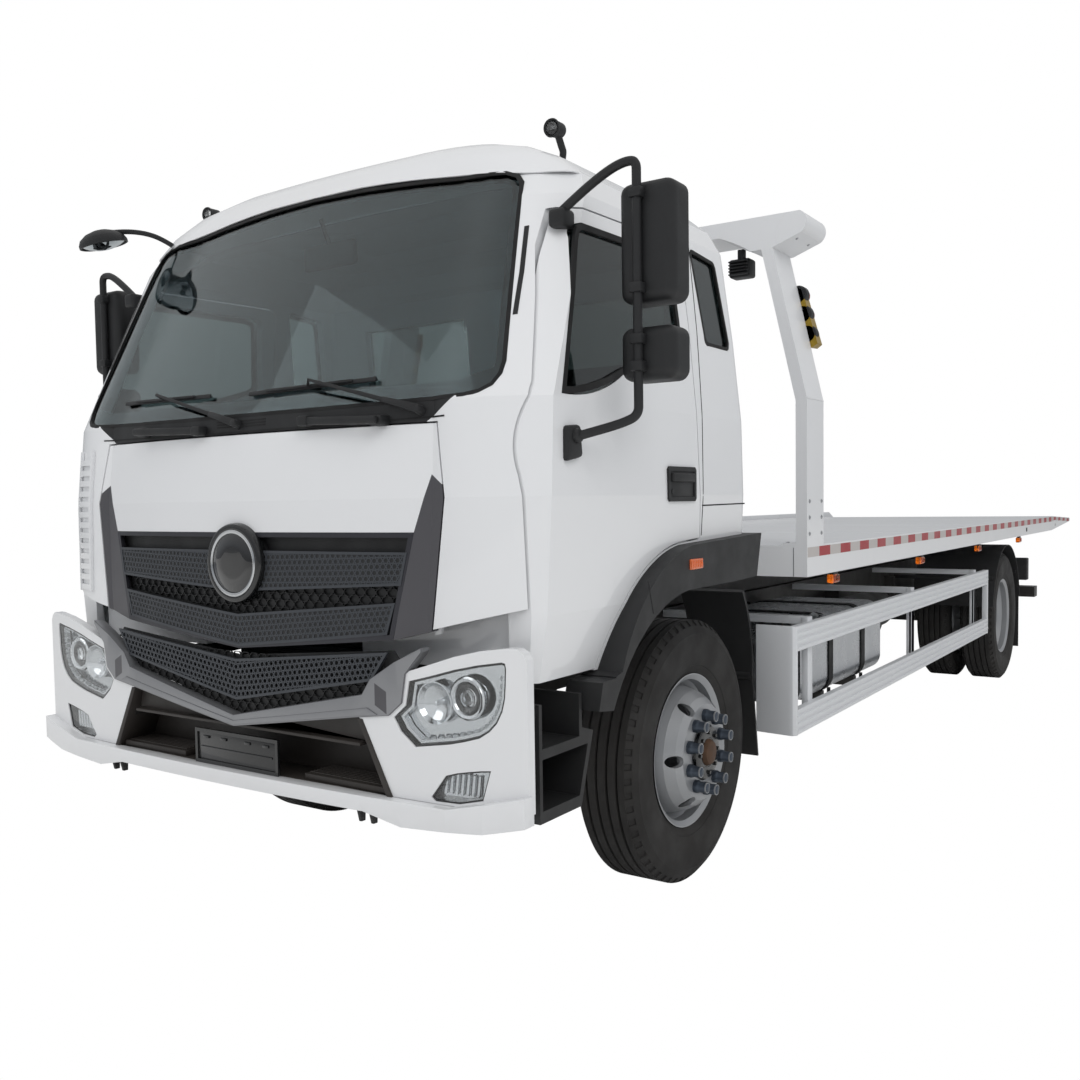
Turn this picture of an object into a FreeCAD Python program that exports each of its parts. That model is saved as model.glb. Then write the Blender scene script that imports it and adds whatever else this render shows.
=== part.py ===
import FreeCAD, Part
import math
import os

from FreeCAD import Vector

# Flatbed tow truck, drawn from the front axle: X points forward, Y to the left, Z up from the ground.
# All sizes are in millimetres. Every piece is moved at the end so that the origin is the middle of the box.

# Overall layout
WHEELBASE = 5450
FRONT_OVERHANG = 1400
REAR_OVERHANG = 3130
REAR_AXLE_X = -WHEELBASE
TAIL_X = REAR_AXLE_X - REAR_OVERHANG
RUNNING_GAP = 0.5
SEAT_GAP = 0.3
PANEL_GAP = 6

# Wheels and tyres
TYRE_RADIUS = 508
TYRE_WIDTH = 254
RIM_RADIUS = 284
RIM_FLANGE_RADIUS = 298
RIM_HALF_WIDTH = 103
RIM_DROP_RADIUS = 250
RIM_WALL = 9
DISC_OFFSET = 165
DISC_WALL = 12
STUD_CIRCLE_RADIUS = 142.9
STUD_COUNT = 10
NUT_CAP_RADIUS = 20
NUT_CAP_LENGTH = 52
HUB_BORE_RADIUS = 110
HAND_HOLE_COUNT = 6
HAND_HOLE_CIRCLE_RADIUS = 205
HAND_HOLE_RADIUS = 23
FRONT_TRACK_HALF = 915
REAR_OUTER_Y = 1060
REAR_INNER_Y = REAR_OUTER_Y - 2 * DISC_OFFSET
HUB_RADIUS = 100
KINGPIN_Y = 770
KINGPIN_RADIUS = 21.9
AXLE_TUBE_RADIUS = 75
FRONT_SPINDLE_RADIUS = 45
REAR_SPINDLE_RADIUS = 60
AXLE_Z = TYRE_RADIUS

# Ladder frame
RAIL_TOP = 950
RAIL_HEIGHT = 250
RAIL_FLANGE = 75
RAIL_WALL = 8
FRAME_HALF_WIDTH = 425
RAIL_FRONT_X = 1120
RAIL_REAR_X = -7040
CROSS_MEMBER_RADIUS = 55
CROSS_MEMBER_PLACES = (1000, -1150, -2900, -4080, -5330, -6100, -6800)
CROSS_MEMBER_Z = RAIL_TOP - RAIL_HEIGHT / 2
REST_PAD_PLACES = (-1300, -3400, -5000)
PROPSHAFT_FRONT_Z = 700

# Cab tilt hinge
TILT_PIN_X = 1290
TILT_PIN_Z = 930
TILT_PIN_RADIUS = 12
TILT_BOSS_RADIUS = 22
PIN_FIT = 0.1
TILT_ARM_Y = 430
TILT_ARM_WIDTH = 40

# Cab shell stations: height, front of the face at the middle, half width, rear face
FRONT_FACE_RADIUS = 5500
CORNER_DEPTH = 115
CORNER_WIDTH = 350
REAR_CORNER = 70
CAB_WALL = 55
CAB_SILL_Z = 950
CAB_STATIONS = (
    (930, 1335, 1105, -280),
    (1150, 1333, 1135, -280),
    (1500, 1325, 1150, -280),
    (1790, 1297, 1143, -280),
    (2100, 1158, 1120, -254),
    (2440, 1004, 1083, -225),
    (2520, 955, 1045, -200),
    (2585, 870, 960, -160),
    (2630, 730, 800, -80),
    (2650, 520, 520, 60),
)
FLOOR_Z = 1250
FOOTWELL_Z = 1000
FLOOR_WALL = 25
FOOTWELL_REAR_X = 640
BULKHEAD_X = 1130
TUNNEL_HALF_WIDTH = 420
FLOOR_HALF_WIDTH = 1050
DOOR_SWING_X = 1055
DOOR_SWING_Y = 1000

# Front lid
LID_HALF_WIDTH = 806
LID_TOP_Z = 1722
LID_WALL = 42
LID_FLANGE = 20
GRILLE_TOP_HALF_WIDTH = 735
GRILLE_TOP_Z = 1397
GRILLE_LOW_HALF_WIDTH = 658
GRILLE_LOW_Z = 1069
GRILLE_TIP_Z = 1008
DISC_Z = 1294
DISC_RADIUS = 130

# Bumper
BUMPER_FRONT_X = 1368
BUMPER_WALL = 32
LIP_FRONT_X = 1386
LIP_WALL = 52
LIP_LOW_Z = 516
LIP_TOP_Z = 572
BAND_LOW_TIP = (0, 733)
BAND_LOW_KNEE = (611, 836)
BAND_LOW_BEND = (681, 871)
BAND_OUTER_BEND = (735, 989)
BAND_INNER_TOP = (672, 1038)
BAND_INNER_KNEE = (552, 906)
BAND_INNER_TIP = (0, 782)

# Door
DOOR_BOTTOM_Z = 955
DOOR_REAR_X = 165

# Bed
BED_FRONT_X = -670
BED_HALF_WIDTH = 1250
DECK_TOP = 1280
DECK_THICKNESS = 8
SIDE_RAIL_HEIGHT = 135
SIDE_RAIL_WIDTH = 60
TAIL_START_X = -7380
TAIL_TIP_TOP = 1240
TAIL_TIP_THICKNESS = 34
CROSS_BEARER_HEIGHT = 72
CROSS_BEARER_WIDTH = 60
CROSS_BEARER_PITCH = 640
RUNNER_Y = 360
RUNNER_WIDTH = 90
RUNNER_FRONT_X = -900
RUNNER_REAR_X = -7380

# Tilt frame
TILT_RAIL_BOTTOM = 955
TILT_RAIL_HEIGHT = 130
TILT_RAIL_WIDTH = 80
TILT_RAIL_FRONT_X = -960
TILT_RAIL_REAR_X = -7190
BED_PIVOT_X = -7120
BED_PIVOT_Z = 905
BED_PIVOT_RADIUS = 25
TILT_EAR_RADIUS = 45
TILT_CROSS_PLACES = (-1000, -2300, -3600, -4900, -6200, -7150)
TILT_CROSS_TOP = TILT_RAIL_BOTTOM + 40

# Hydraulic cylinders
SLIDE_BARREL_RADIUS = 44
SLIDE_ROD_RADIUS = 32
SLIDE_BARREL_FRONT_X = -1100
SLIDE_BARREL_REAR_X = -5300
TILT_CYLINDER_Y = 210
TILT_BARREL_RADIUS = 45
TILT_ROD_RADIUS = 28
TILT_EYE_RADIUS = 42
TILT_EYE_PIN_RADIUS = 20
TILT_LUG_WALL = 12
TILT_LUG_GAP = 5
TILT_BARREL_FOOT = (-4200, 0, 790)
TILT_ROD_EYE = (-5500, 0, 1000)
TILT_EYE_HALF_WIDTH = 30

# Wheel lift
FORK_BORE_Y = 980
FORK_BORE_RADIUS = 20

# Gantry
POST_Y_OUTER = 1250
POST_THICKNESS = 50
POST_DEPTH = 210
KNEE_Z = 1910
POST_TOP_Y_OUTER = 1095
GANTRY_TOP_Z = 2700
GANTRY_HEIGHT = 138
GANTRY_DEPTH = 245
ARCH_RISE = 74


def block(x0, x1, y0, y1, z0, z1):
    """Box between two corners."""
    return Part.makeBox(x1 - x0, y1 - y0, z1 - z0, Vector(x0, y0, z0))


def bar(start, end, radius):
    """Round bar between two points."""
    line = Vector(*end) - Vector(*start)
    return Part.makeCylinder(radius, line.Length, Vector(*start), line)


def tube(start, end, outer, inner):
    """Round tube between two points."""
    return bar(start, end, outer).cut(bar(start, end, inner))


def flipped(shape):
    """The same piece on the other side of the truck."""
    return shape.mirror(Vector(0, 0, 0), Vector(0, 1, 0))


def both(shape):
    """A piece and its mirror image."""
    return Part.makeCompound([shape, flipped(shape)])


def joined(shapes):
    """One solid from pieces that touch or overlap."""
    shapes = list(shapes)
    return shapes[0].fuse(shapes[1:]).removeSplitter()


def outline(start, *steps):
    """Closed wire in a plane from a start (u, v) and steps: (u, v) for a line, ((u, v), (u, v)) for an arc."""
    edges = []
    here = start
    for step in steps + (start,):
        if isinstance(step[0], tuple):
            middle, end = step
            arc = Part.Arc(Vector(*here, 0), Vector(*middle, 0), Vector(*end, 0))
            edges.append(arc.toShape())
        else:
            end = step
            if here == end:
                continue
            edges.append(Part.LineSegment(Vector(*here, 0), Vector(*end, 0)).toShape())
        here = end
    return Part.Wire(edges)


def side_prism(wire, y0, y1):
    """Solid from a side-view outline (x, z), from y0 to y1."""
    face = Part.Face(wire)
    face.rotate(Vector(0, 0, 0), Vector(1, 0, 0), 90)
    face.translate(Vector(0, y1, 0))
    return face.extrude(Vector(0, y0 - y1, 0))


def front_prism(wire, x0, x1):
    """Solid from a front-view outline (y, z), from x0 to x1."""
    face = Part.Face(wire)
    face.rotate(Vector(0, 0, 0), Vector(1, 0, 0), 90)
    face.rotate(Vector(0, 0, 0), Vector(0, 0, 1), 90)
    face.translate(Vector(x0, 0, 0))
    return face.extrude(Vector(x1 - x0, 0, 0))


def plan_prism(wire, z0, z1):
    """Solid from a plan outline (x, y), from z0 to z1."""
    face = Part.Face(wire)
    face.translate(Vector(0, 0, z0))
    return face.extrude(Vector(0, 0, z1 - z0))


def turned(profile, x, y, z):
    """Ring or disc turned about an axle along Y. The profile holds (radius, offset along Y)."""
    edges = []
    for here, there in zip(profile, profile[1:] + profile[:1]):
        edges.append(Part.makeLine(Vector(here[0], here[1], 0), Vector(there[0], there[1], 0)))
    ring = Part.Face(Part.Wire(edges)).revolve(Vector(0, 0, 0), Vector(0, 1, 0), 360)
    ring.translate(Vector(x, y, z))
    return ring


def face_sag(y):
    """How far the curved front face has gone back at a distance from the middle."""
    return y * y / (2 * FRONT_FACE_RADIUS)


def cab_ring(station, inset):
    """Plan outline of the cab at one height, inside the outer skin by the inset."""
    z, front, half, rear = station
    front = front - inset
    half = half - inset
    rear = rear + inset
    radius = max(REAR_CORNER - inset, 20)
    turn_y = half - min(CORNER_WIDTH, half * 0.5)
    turn_x = front - face_sag(turn_y)
    side_x = turn_x - CORNER_DEPTH
    bow = math.sqrt(0.5)
    bow_point = (side_x + CORNER_DEPTH * bow, turn_y + (half - turn_y) * bow)
    back_bow = (rear + radius * (1 - bow), half - radius * (1 - bow))
    wire = outline(
        (turn_x, -turn_y),
        ((front, 0), (turn_x, turn_y)),
        (bow_point, (side_x, half)),
        (rear + radius, half),
        (back_bow, (rear, half - radius)),
        (rear, -half + radius),
        ((back_bow[0], -back_bow[1]), (rear + radius, -half)),
        (side_x, -half),
        ((bow_point[0], -bow_point[1]), (turn_x, -turn_y)),
    )
    wire.translate(Vector(0, 0, z))
    return wire


def cab_form(inset):
    """Closed outer form of the cab, shrunk by the inset."""
    rings = []
    for z, front, half, rear in CAB_STATIONS:
        if z > 2440:
            height = z - inset
        else:
            height = z
        rings.append(cab_ring((height, front, half, rear), inset))
    return Part.makeLoft(rings, True, True)


def door_wire():
    """Side-view outline of the left door's outer edge."""
    return outline(
        (1190, DOOR_BOTTOM_Z),
        (1205, 1560),
        ((1198, 1700), (1150, 1830)),
        (968, 2330),
        ((950, 2370), (910, 2385)),
        (240, 2402),
        ((212, 2388), (203, 2350)),
        (DOOR_REAR_X, 1345),
        (330, 1335),
        ((655, 1207), (861, DOOR_BOTTOM_Z)),
    )


def door_window_wire():
    """Side-view outline of the door's window."""
    return outline(
        (1080, 1800),
        (930, 2290),
        ((915, 2325), (880, 2340)),
        (330, 2352),
        ((285, 2345), (278, 2300)),
        (262, 2060),
        ((266, 2025), (300, 2010)),
        (700, 1890),
        ((900, 1815), (1080, 1800)),
    )


def quarter_window_wire():
    """Side-view outline of the small window behind the door."""
    return outline(
        (90, 2408),
        ((112, 2400), (116, 2380)),
        (66, 2085),
        ((55, 2062), (30, 2058)),
        (-130, 2058),
        ((-152, 2066), (-158, 2090)),
        (-102, 2375),
        ((-92, 2392), (-70, 2396)),
    )


def windscreen_wire():
    """Front-view outline of the windscreen opening."""
    return outline(
        (-900, 1800),
        ((0, 1786), (900, 1800)),
        ((985, 1825), (1005, 1900)),
        (905, 2460),
        ((880, 2520), (820, 2532)),
        ((0, 2556), (-820, 2532)),
        ((-880, 2520), (-905, 2460)),
        (-1005, 1900),
        ((-985, 1825), (-900, 1800)),
    )


def rear_window_wire():
    """Front-view outline of one window in the cab's rear wall."""
    return outline((200, 1960), (820, 1960), (820, 2330), (200, 2330))


def lid_wire(gap):
    """Front-view outline of the front lid with its pillars, larger by the gap."""
    half = LID_HALF_WIDTH + gap
    return outline(
        (-half, LID_TOP_Z + gap),
        (-half - 42, 1500),
        (-800 - gap, 1102 - gap),
        (-GRILLE_LOW_HALF_WIDTH - gap, GRILLE_LOW_Z - gap),
        (0, GRILLE_TIP_Z - gap),
        (GRILLE_LOW_HALF_WIDTH + gap, GRILLE_LOW_Z - gap),
        (800 + gap, 1102 - gap),
        (half + 42, 1500),
        (half, LID_TOP_Z + gap),
    )


def grille_wire():
    """Front-view outline of the grille field between the dark pillars."""
    return outline(
        (-GRILLE_TOP_HALF_WIDTH, GRILLE_TOP_Z),
        (GRILLE_TOP_HALF_WIDTH, GRILLE_TOP_Z),
        (GRILLE_LOW_HALF_WIDTH, GRILLE_LOW_Z),
        (0, GRILLE_TIP_Z),
        (-GRILLE_LOW_HALF_WIDTH, GRILLE_LOW_Z),
    )


def arch_cut():
    """Space of the front wheel arches, from side to side below the cab."""
    return side_prism(
        outline(
            (-400, 850),
            (880, 850),
            (880, DOOR_BOTTOM_Z - 16),
            (840, DOOR_BOTTOM_Z - 6),
            ((645, 1197), (330, 1325)),
            (-400, 1352),
        ),
        -1300,
        1300,
    )


def cab_skin():
    """Outer wall of the cab before its openings are cut."""
    return cab_form(0).cut(cab_form(CAB_WALL))


def make_cab_shell(skin, cowl):
    """Cab shell: roof, pillars, corner panels, rear wall, floor and bulkhead."""
    door_cut = side_prism(door_wire().makeOffset2D(PANEL_GAP), 1000, 1300)
    quarter = side_prism(quarter_window_wire(), 1000, 1300)
    corner = front_prism(outline((700, 850), (1300, 850), (1300, 1222), (784, 1103), (700, 1103)), 1165, 1500)
    sill = block(-400, 1500, -1300, 1300, 850, CAB_SILL_Z)
    under_lid = block(1165, 1500, -785, 785, 850, 1150)
    lid_cut = front_prism(lid_wire(PANEL_GAP), 1165, 1500)
    screen = front_prism(windscreen_wire(), 750, 1500)
    rear = front_prism(rear_window_wire(), -400, -100)
    shell = skin.cut([door_cut, flipped(door_cut), quarter, flipped(quarter), arch_cut(), corner, flipped(corner)])
    flange = cab_form(LID_WALL + SEAT_GAP).cut(cab_form(CAB_WALL))
    flange = flange.common(front_prism(lid_wire(PANEL_GAP + 4), 1165, 1500))
    flange = flange.cut([front_prism(lid_wire(-LID_FLANGE), 1165, 1500), block(1100, 1500, -785, 785, 850, 1150)])
    shell = shell.cut([sill, under_lid, lid_cut, screen, rear, flipped(rear), cowl])
    inner = FLOOR_HALF_WIDTH
    side_floor = side_prism(
        outline(
            (-280 + CAB_WALL - 1, FLOOR_Z),
            (FOOTWELL_REAR_X, FLOOR_Z),
            (FOOTWELL_REAR_X + 40, FOOTWELL_Z),
            (BULKHEAD_X, FOOTWELL_Z),
            (BULKHEAD_X, 1770),
            (BULKHEAD_X + FLOOR_WALL, 1770),
            (BULKHEAD_X + FLOOR_WALL, FOOTWELL_Z - FLOOR_WALL),
            (FOOTWELL_REAR_X + 20, FOOTWELL_Z - FLOOR_WALL),
            (FOOTWELL_REAR_X - 20, FLOOR_Z - FLOOR_WALL),
            (-280 + CAB_WALL - 1, FLOOR_Z - FLOOR_WALL),
        ),
        TUNNEL_HALF_WIDTH - 25,
        inner,
    )
    door_swing = block(DOOR_SWING_X, 1300, DOOR_SWING_Y, FLOOR_HALF_WIDTH + 1, 900, 1800)
    side_floor = side_floor.cut(door_swing)
    tunnel = block(
        -280 + CAB_WALL - 1, BULKHEAD_X + 1, -TUNNEL_HALF_WIDTH, TUNNEL_HALF_WIDTH, FLOOR_Z - FLOOR_WALL, FLOOR_Z
    )
    tunnel_side = block(
        FOOTWELL_REAR_X - 20, BULKHEAD_X + 1, TUNNEL_HALF_WIDTH - 25, TUNNEL_HALF_WIDTH, FOOTWELL_Z - FLOOR_WALL, FLOOR_Z
    )
    bulkhead = block(
        BULKHEAD_X, BULKHEAD_X + FLOOR_WALL, -TUNNEL_HALF_WIDTH, TUNNEL_HALF_WIDTH, FLOOR_Z - FLOOR_WALL, 1770
    )
    cowl_shelf = block(BULKHEAD_X, 1262, -inner + 90, inner - 90, 1738, 1770)
    cowl_shelf = cowl_shelf.common(cab_form(CAB_WALL - 2))
    pieces = [shell, flange, side_floor, flipped(side_floor), tunnel, tunnel_side, flipped(tunnel_side), bulkhead, cowl_shelf]
    return joined(pieces)


def make_door(skin):
    """Left door: the cab wall inside the door outline, with its window cut."""
    window = side_prism(door_window_wire(), 1000, 1300)
    return skin.common(side_prism(door_wire(), 1020, 1300)).cut(window)


def glass_sheet(prism):
    """Glass inside an opening, a little behind the outer skin."""
    return cab_form(10).cut(cab_form(16)).common(prism)


def make_lid(skin_form):
    """White part of the front lid above the grille and between the pillars."""
    sheet = skin_form.cut(cab_form(LID_WALL))
    panel = sheet.common(front_prism(lid_wire(0), 1165, 1500))
    below = block(1100, 1500, -GRILLE_LOW_HALF_WIDTH, GRILLE_LOW_HALF_WIDTH, 900, GRILLE_LOW_Z)
    pillar = front_prism(pillar_wire(), 1165, 1500)
    disc_seat = bar((1200, 0, DISC_Z), (1500, 0, DISC_Z), DISC_RADIUS + SEAT_GAP)
    return panel.cut([front_prism(grille_wire(), 1165, 1500), below, pillar, flipped(pillar), disc_seat])


def pillar_wire():
    """Front-view outline of the space of the dark pillar at the left of the grille."""
    return outline(
        (GRILLE_TOP_HALF_WIDTH, GRILLE_TOP_Z),
        (795, 1570),
        (900, 1500),
        (850, 1050),
        (GRILLE_LOW_HALF_WIDTH, 1050),
        (GRILLE_LOW_HALF_WIDTH, GRILLE_LOW_Z),
    )


def make_pillar(skin_form):
    """Dark pillar beside the grille."""
    sheet = skin_form.cut(cab_form(LID_WALL))
    return sheet.common(front_prism(pillar_wire(), 1165, 1500)).common(front_prism(lid_wire(0), 1165, 1500))


def make_grille(skin_form):
    """Upper grille in the lid: dark frame, two slats and the round disc over them."""
    plate = skin_form.cut(cab_form(12))
    plate.translate(Vector(-28, 0, 0))
    back = plate.common(front_prism(grille_wire(), 1165, 1500))
    slat = front_prism(outline((-712, 1337), (712, 1337), (689, 1236), (0, 1200), (-689, 1236)), 1165, 1500)
    slat_low = front_prism(
        outline((-668, 1183), (0, 1123), (668, 1183), (636, 1084), (0, 1014), (-636, 1084)), 1165, 1500
    )
    sheet = skin_form.cut(cab_form(30))
    bars = sheet.common(slat.fuse(slat_low))
    disc = bar((1300, 0, DISC_Z), (1346, 0, DISC_Z), DISC_RADIUS)
    return joined([back, bars, disc])


def bumper_plan(front, thickness):
    """Plan outline of the bumper's wall, with its rounded corners."""
    back = front - thickness
    return outline(
        (front - 60, -1156),
        ((front - 44, -1065), (front - 35, -950)),
        ((front, 0), (front - 35, 950)),
        ((front - 44, 1065), (front - 60, 1156)),
        (back - 42, 1144),
        ((back - 39, 1060), (back - 35, 940)),
        ((back, 0), (back - 35, -940)),
        ((back - 39, -1060), (back - 42, -1144)),
    )


def headlamp_wire():
    """Front-view outline of the left headlamp."""
    return outline(
        (662, 831),
        (700, 856),
        (1066, 1020),
        ((1078, 1010), (1076, 990)),
        (1052, 860),
        ((1045, 845), (1025, 838)),
        (800, 765),
        (735, 790),
    )


def fog_lamp_wire():
    """Front-view outline of the left fog lamp."""
    return outline((802, 640), (850, 700), (1034, 706), (1022, 612), (840, 608))


def make_bumper():
    """Front bumper: two white corners, each with its lamp openings, and the lower lip across."""
    face = plan_prism(bumper_plan(BUMPER_FRONT_X, BUMPER_WALL), LIP_TOP_Z, 1110)
    corner = front_prism(
        outline(
            (668, 560),
            (656, 610),
            (540, 812),
            BAND_LOW_KNEE,
            BAND_LOW_BEND,
            BAND_OUTER_BEND,
            (811, 962),
            (1110, 1062),
            ((1148, 1058), (1158, 1020)),
            (1158, 560),
        ),
        1150,
        1450,
    )
    corner = corner.cut([front_prism(headlamp_wire(), 1100, 1450), front_prism(fog_lamp_wire(), 1100, 1450)])
    left = face.common(corner)
    lip = plan_prism(bumper_plan(LIP_FRONT_X, LIP_WALL), LIP_LOW_Z, LIP_TOP_Z)
    return joined([left, flipped(left), lip])


def make_v_band():
    """Silver and dark V-shaped band round the lowest slat."""
    slab = plan_prism(bumper_plan(BUMPER_FRONT_X + 4, BUMPER_WALL + 10), 700, 1100)
    right = [BAND_LOW_TIP, BAND_LOW_KNEE, BAND_LOW_BEND, BAND_OUTER_BEND, (809, 1052), (809, 1062)]
    right += [BAND_INNER_TOP, BAND_INNER_KNEE, BAND_INNER_TIP]
    left = [(-y, z) for y, z in reversed(right[1:-1])]
    return slab.common(front_prism(outline(*(right + left)), 1150, 1450))


def make_bumper_grille():
    """Dark middle of the bumper: lowest slat, recess floor with its back, and the plain plate bracket."""
    slab = plan_prism(bumper_plan(1350, 22), 560, 1100)
    field = outline(
        BAND_INNER_TIP, BAND_INNER_KNEE, BAND_INNER_TOP, (0, 966),
        (-BAND_INNER_TOP[0], BAND_INNER_TOP[1]), (-BAND_INNER_KNEE[0], BAND_INNER_KNEE[1]),
    )
    slat = slab.common(front_prism(field, 1150, 1450))
    recess_back = block(1190, 1202, -640, 640, LIP_TOP_Z, 712)
    recess_floor = block(1190, 1350, -640, 640, LIP_TOP_Z - 22, LIP_TOP_Z)
    recess_floor = recess_floor.cut(plan_prism(bumper_plan(LIP_FRONT_X, LIP_WALL), LIP_LOW_Z, LIP_TOP_Z + 1))
    bracket = block(LIP_FRONT_X + SEAT_GAP, FRONT_OVERHANG, -235, 235, 545, 712)
    return Part.makeCompound([slat, joined([recess_back, recess_floor]), bracket])


def make_lamps():
    """Headlamps and fog lamps, each a closed body behind its outline."""
    slab = plan_prism(bumper_plan(BUMPER_FRONT_X - 6, 46), 560, 1110)
    head = slab.common(front_prism(headlamp_wire(), 1150, 1450))
    fog = slab.common(front_prism(fog_lamp_wire(), 1150, 1450))
    return Part.makeCompound([head, flipped(head), fog, flipped(fog)])


def make_cowl(skin_form):
    """Black cowl between the front lid and the windscreen."""
    band = skin_form.cut(cab_form(36))
    low = LID_TOP_Z + PANEL_GAP
    field = front_prism(outline((-770, low), (770, low), (890, 1810), (-890, 1810)), 1100, 1500)
    return band.common(field).cut(front_prism(windscreen_wire(), 750, 1500))


def make_windscreen():
    """Windscreen glass."""
    return glass_sheet(front_prism(windscreen_wire(), 750, 1500))


def make_cab_windows():
    """Quarter windows and rear windows."""
    quarter = glass_sheet(side_prism(quarter_window_wire(), 1000, 1300))
    rear = glass_sheet(front_prism(rear_window_wire(), -400, -100))
    return Part.makeCompound([quarter, flipped(quarter), rear, flipped(rear)])


def make_flares():
    """Wheel-arch flares over the front wheels, seated against the arch edges."""
    form = side_prism(
        outline(
            (-290, 1360),
            (165, 1350),
            (340, 1340),
            ((680, 1215), (880, DOOR_BOTTOM_Z)),
            (880, DOOR_BOTTOM_Z - 12),
            (960, DOOR_BOTTOM_Z - 24),
            (985, 848),
            (897, 836),
            ((660, 1075), (361, 1169)),
            (-25, 1172),
            (-239, 1178),
        ),
        1070,
        1200,
    )
    low_end = block(870, 1000, 1070, 1200, 820, DOOR_BOTTOM_Z - 20)
    return both(form.common(arch_cut().fuse(low_end)))


def make_seats():
    """Driver's seat and double passenger seat, each a cushion and a back."""
    def seat(y0, y1):
        cushion = block(30, 560, y0, y1, FLOOR_Z + SEAT_GAP, 1500)
        back = side_prism(outline((-60, FLOOR_Z + 60), (60, FLOOR_Z + 60), (-70, 2080), (-160, 2080)), y0, y1)
        return joined([cushion, back])
    return Part.makeCompound([seat(330, 850), seat(-850, 150)])


def make_dashboard():
    """Dashboard, steering column and steering wheel."""
    dash = side_prism(
        outline((BULKHEAD_X - SEAT_GAP, 1420), (BULKHEAD_X - SEAT_GAP, 1764), (900, 1720), (840, 1600), (960, 1420)),
        -1000,
        1000,
    )
    column = bar((930, 590, 1560), (770, 590, 1690), 40)
    rim = Part.makeTorus(225, 16, Vector(760, 590, 1698), Vector(-0.776, 0, 0.63))
    spoke = bar((752, 370, 1688), (752, 810, 1688), 14)
    return joined([dash, column, rim, spoke])


def make_cab_arms():
    """Arms under the cab floor that carry it on the tilt pin."""
    plate = side_prism(
        outline(
            (760, FOOTWELL_Z - FLOOR_WALL - SEAT_GAP),
            (BULKHEAD_X + 20, FOOTWELL_Z - FLOOR_WALL - SEAT_GAP),
            (TILT_PIN_X + 10, TILT_PIN_Z + TILT_BOSS_RADIUS),
            ((TILT_PIN_X + TILT_BOSS_RADIUS, TILT_PIN_Z), (TILT_PIN_X, TILT_PIN_Z - TILT_BOSS_RADIUS)),
            (1150, 925),
            (760, 945),
        ),
        TILT_ARM_Y - TILT_ARM_WIDTH / 2,
        TILT_ARM_Y + TILT_ARM_WIDTH / 2,
    )
    hole = bar((TILT_PIN_X, 300, TILT_PIN_Z), (TILT_PIN_X, 600, TILT_PIN_Z), TILT_PIN_RADIUS + PIN_FIT)
    return both(plate.cut(hole))


def make_roof_lamps(skin_form):
    """Two lamps on stalks at the front of the roof and the proximity mirror on its arm."""
    lamp = bar((655, 875, 2729), (708, 875, 2724), 28)
    stalk = bar((640, 875, 2570), (675, 875, 2726), 12).cut(skin_form)
    one = joined([lamp, stalk])
    arm = bar((860, -940, 2480), (1120, -1100, 2556), 11).cut(skin_form)
    head = bar((1090, -1105, 2545), (1160, -1105, 2540), 70)
    return Part.makeCompound([one, flipped(one), joined([arm, head])])


def make_door_fittings(skin_form):
    """Mirror arm with its two mirrors and the door handle, on the left door."""
    arm = [
        bar((930, 1020, 2345), (925, 1230, 2490), 14),
        bar((925, 1230, 2490), (920, 1310, 2430), 14),
        bar((920, 1310, 2430), (920, 1310, 1760), 14),
        bar((920, 1310, 1760), (1040, 1160, 1660), 14),
    ]
    big = block(800, 915, 1235, 1422, 2070, 2425)
    small = block(800, 915, 1240, 1420, 1840, 2000)
    foot = block(1000, 1090, 1135, 1175, 1610, 1710)
    handle = block(213, 429, 1135, 1166, 1475, 1605)
    return Part.makeCompound([joined(arm + [big, small, foot]).cut(skin_form), handle.cut(skin_form)])


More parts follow.
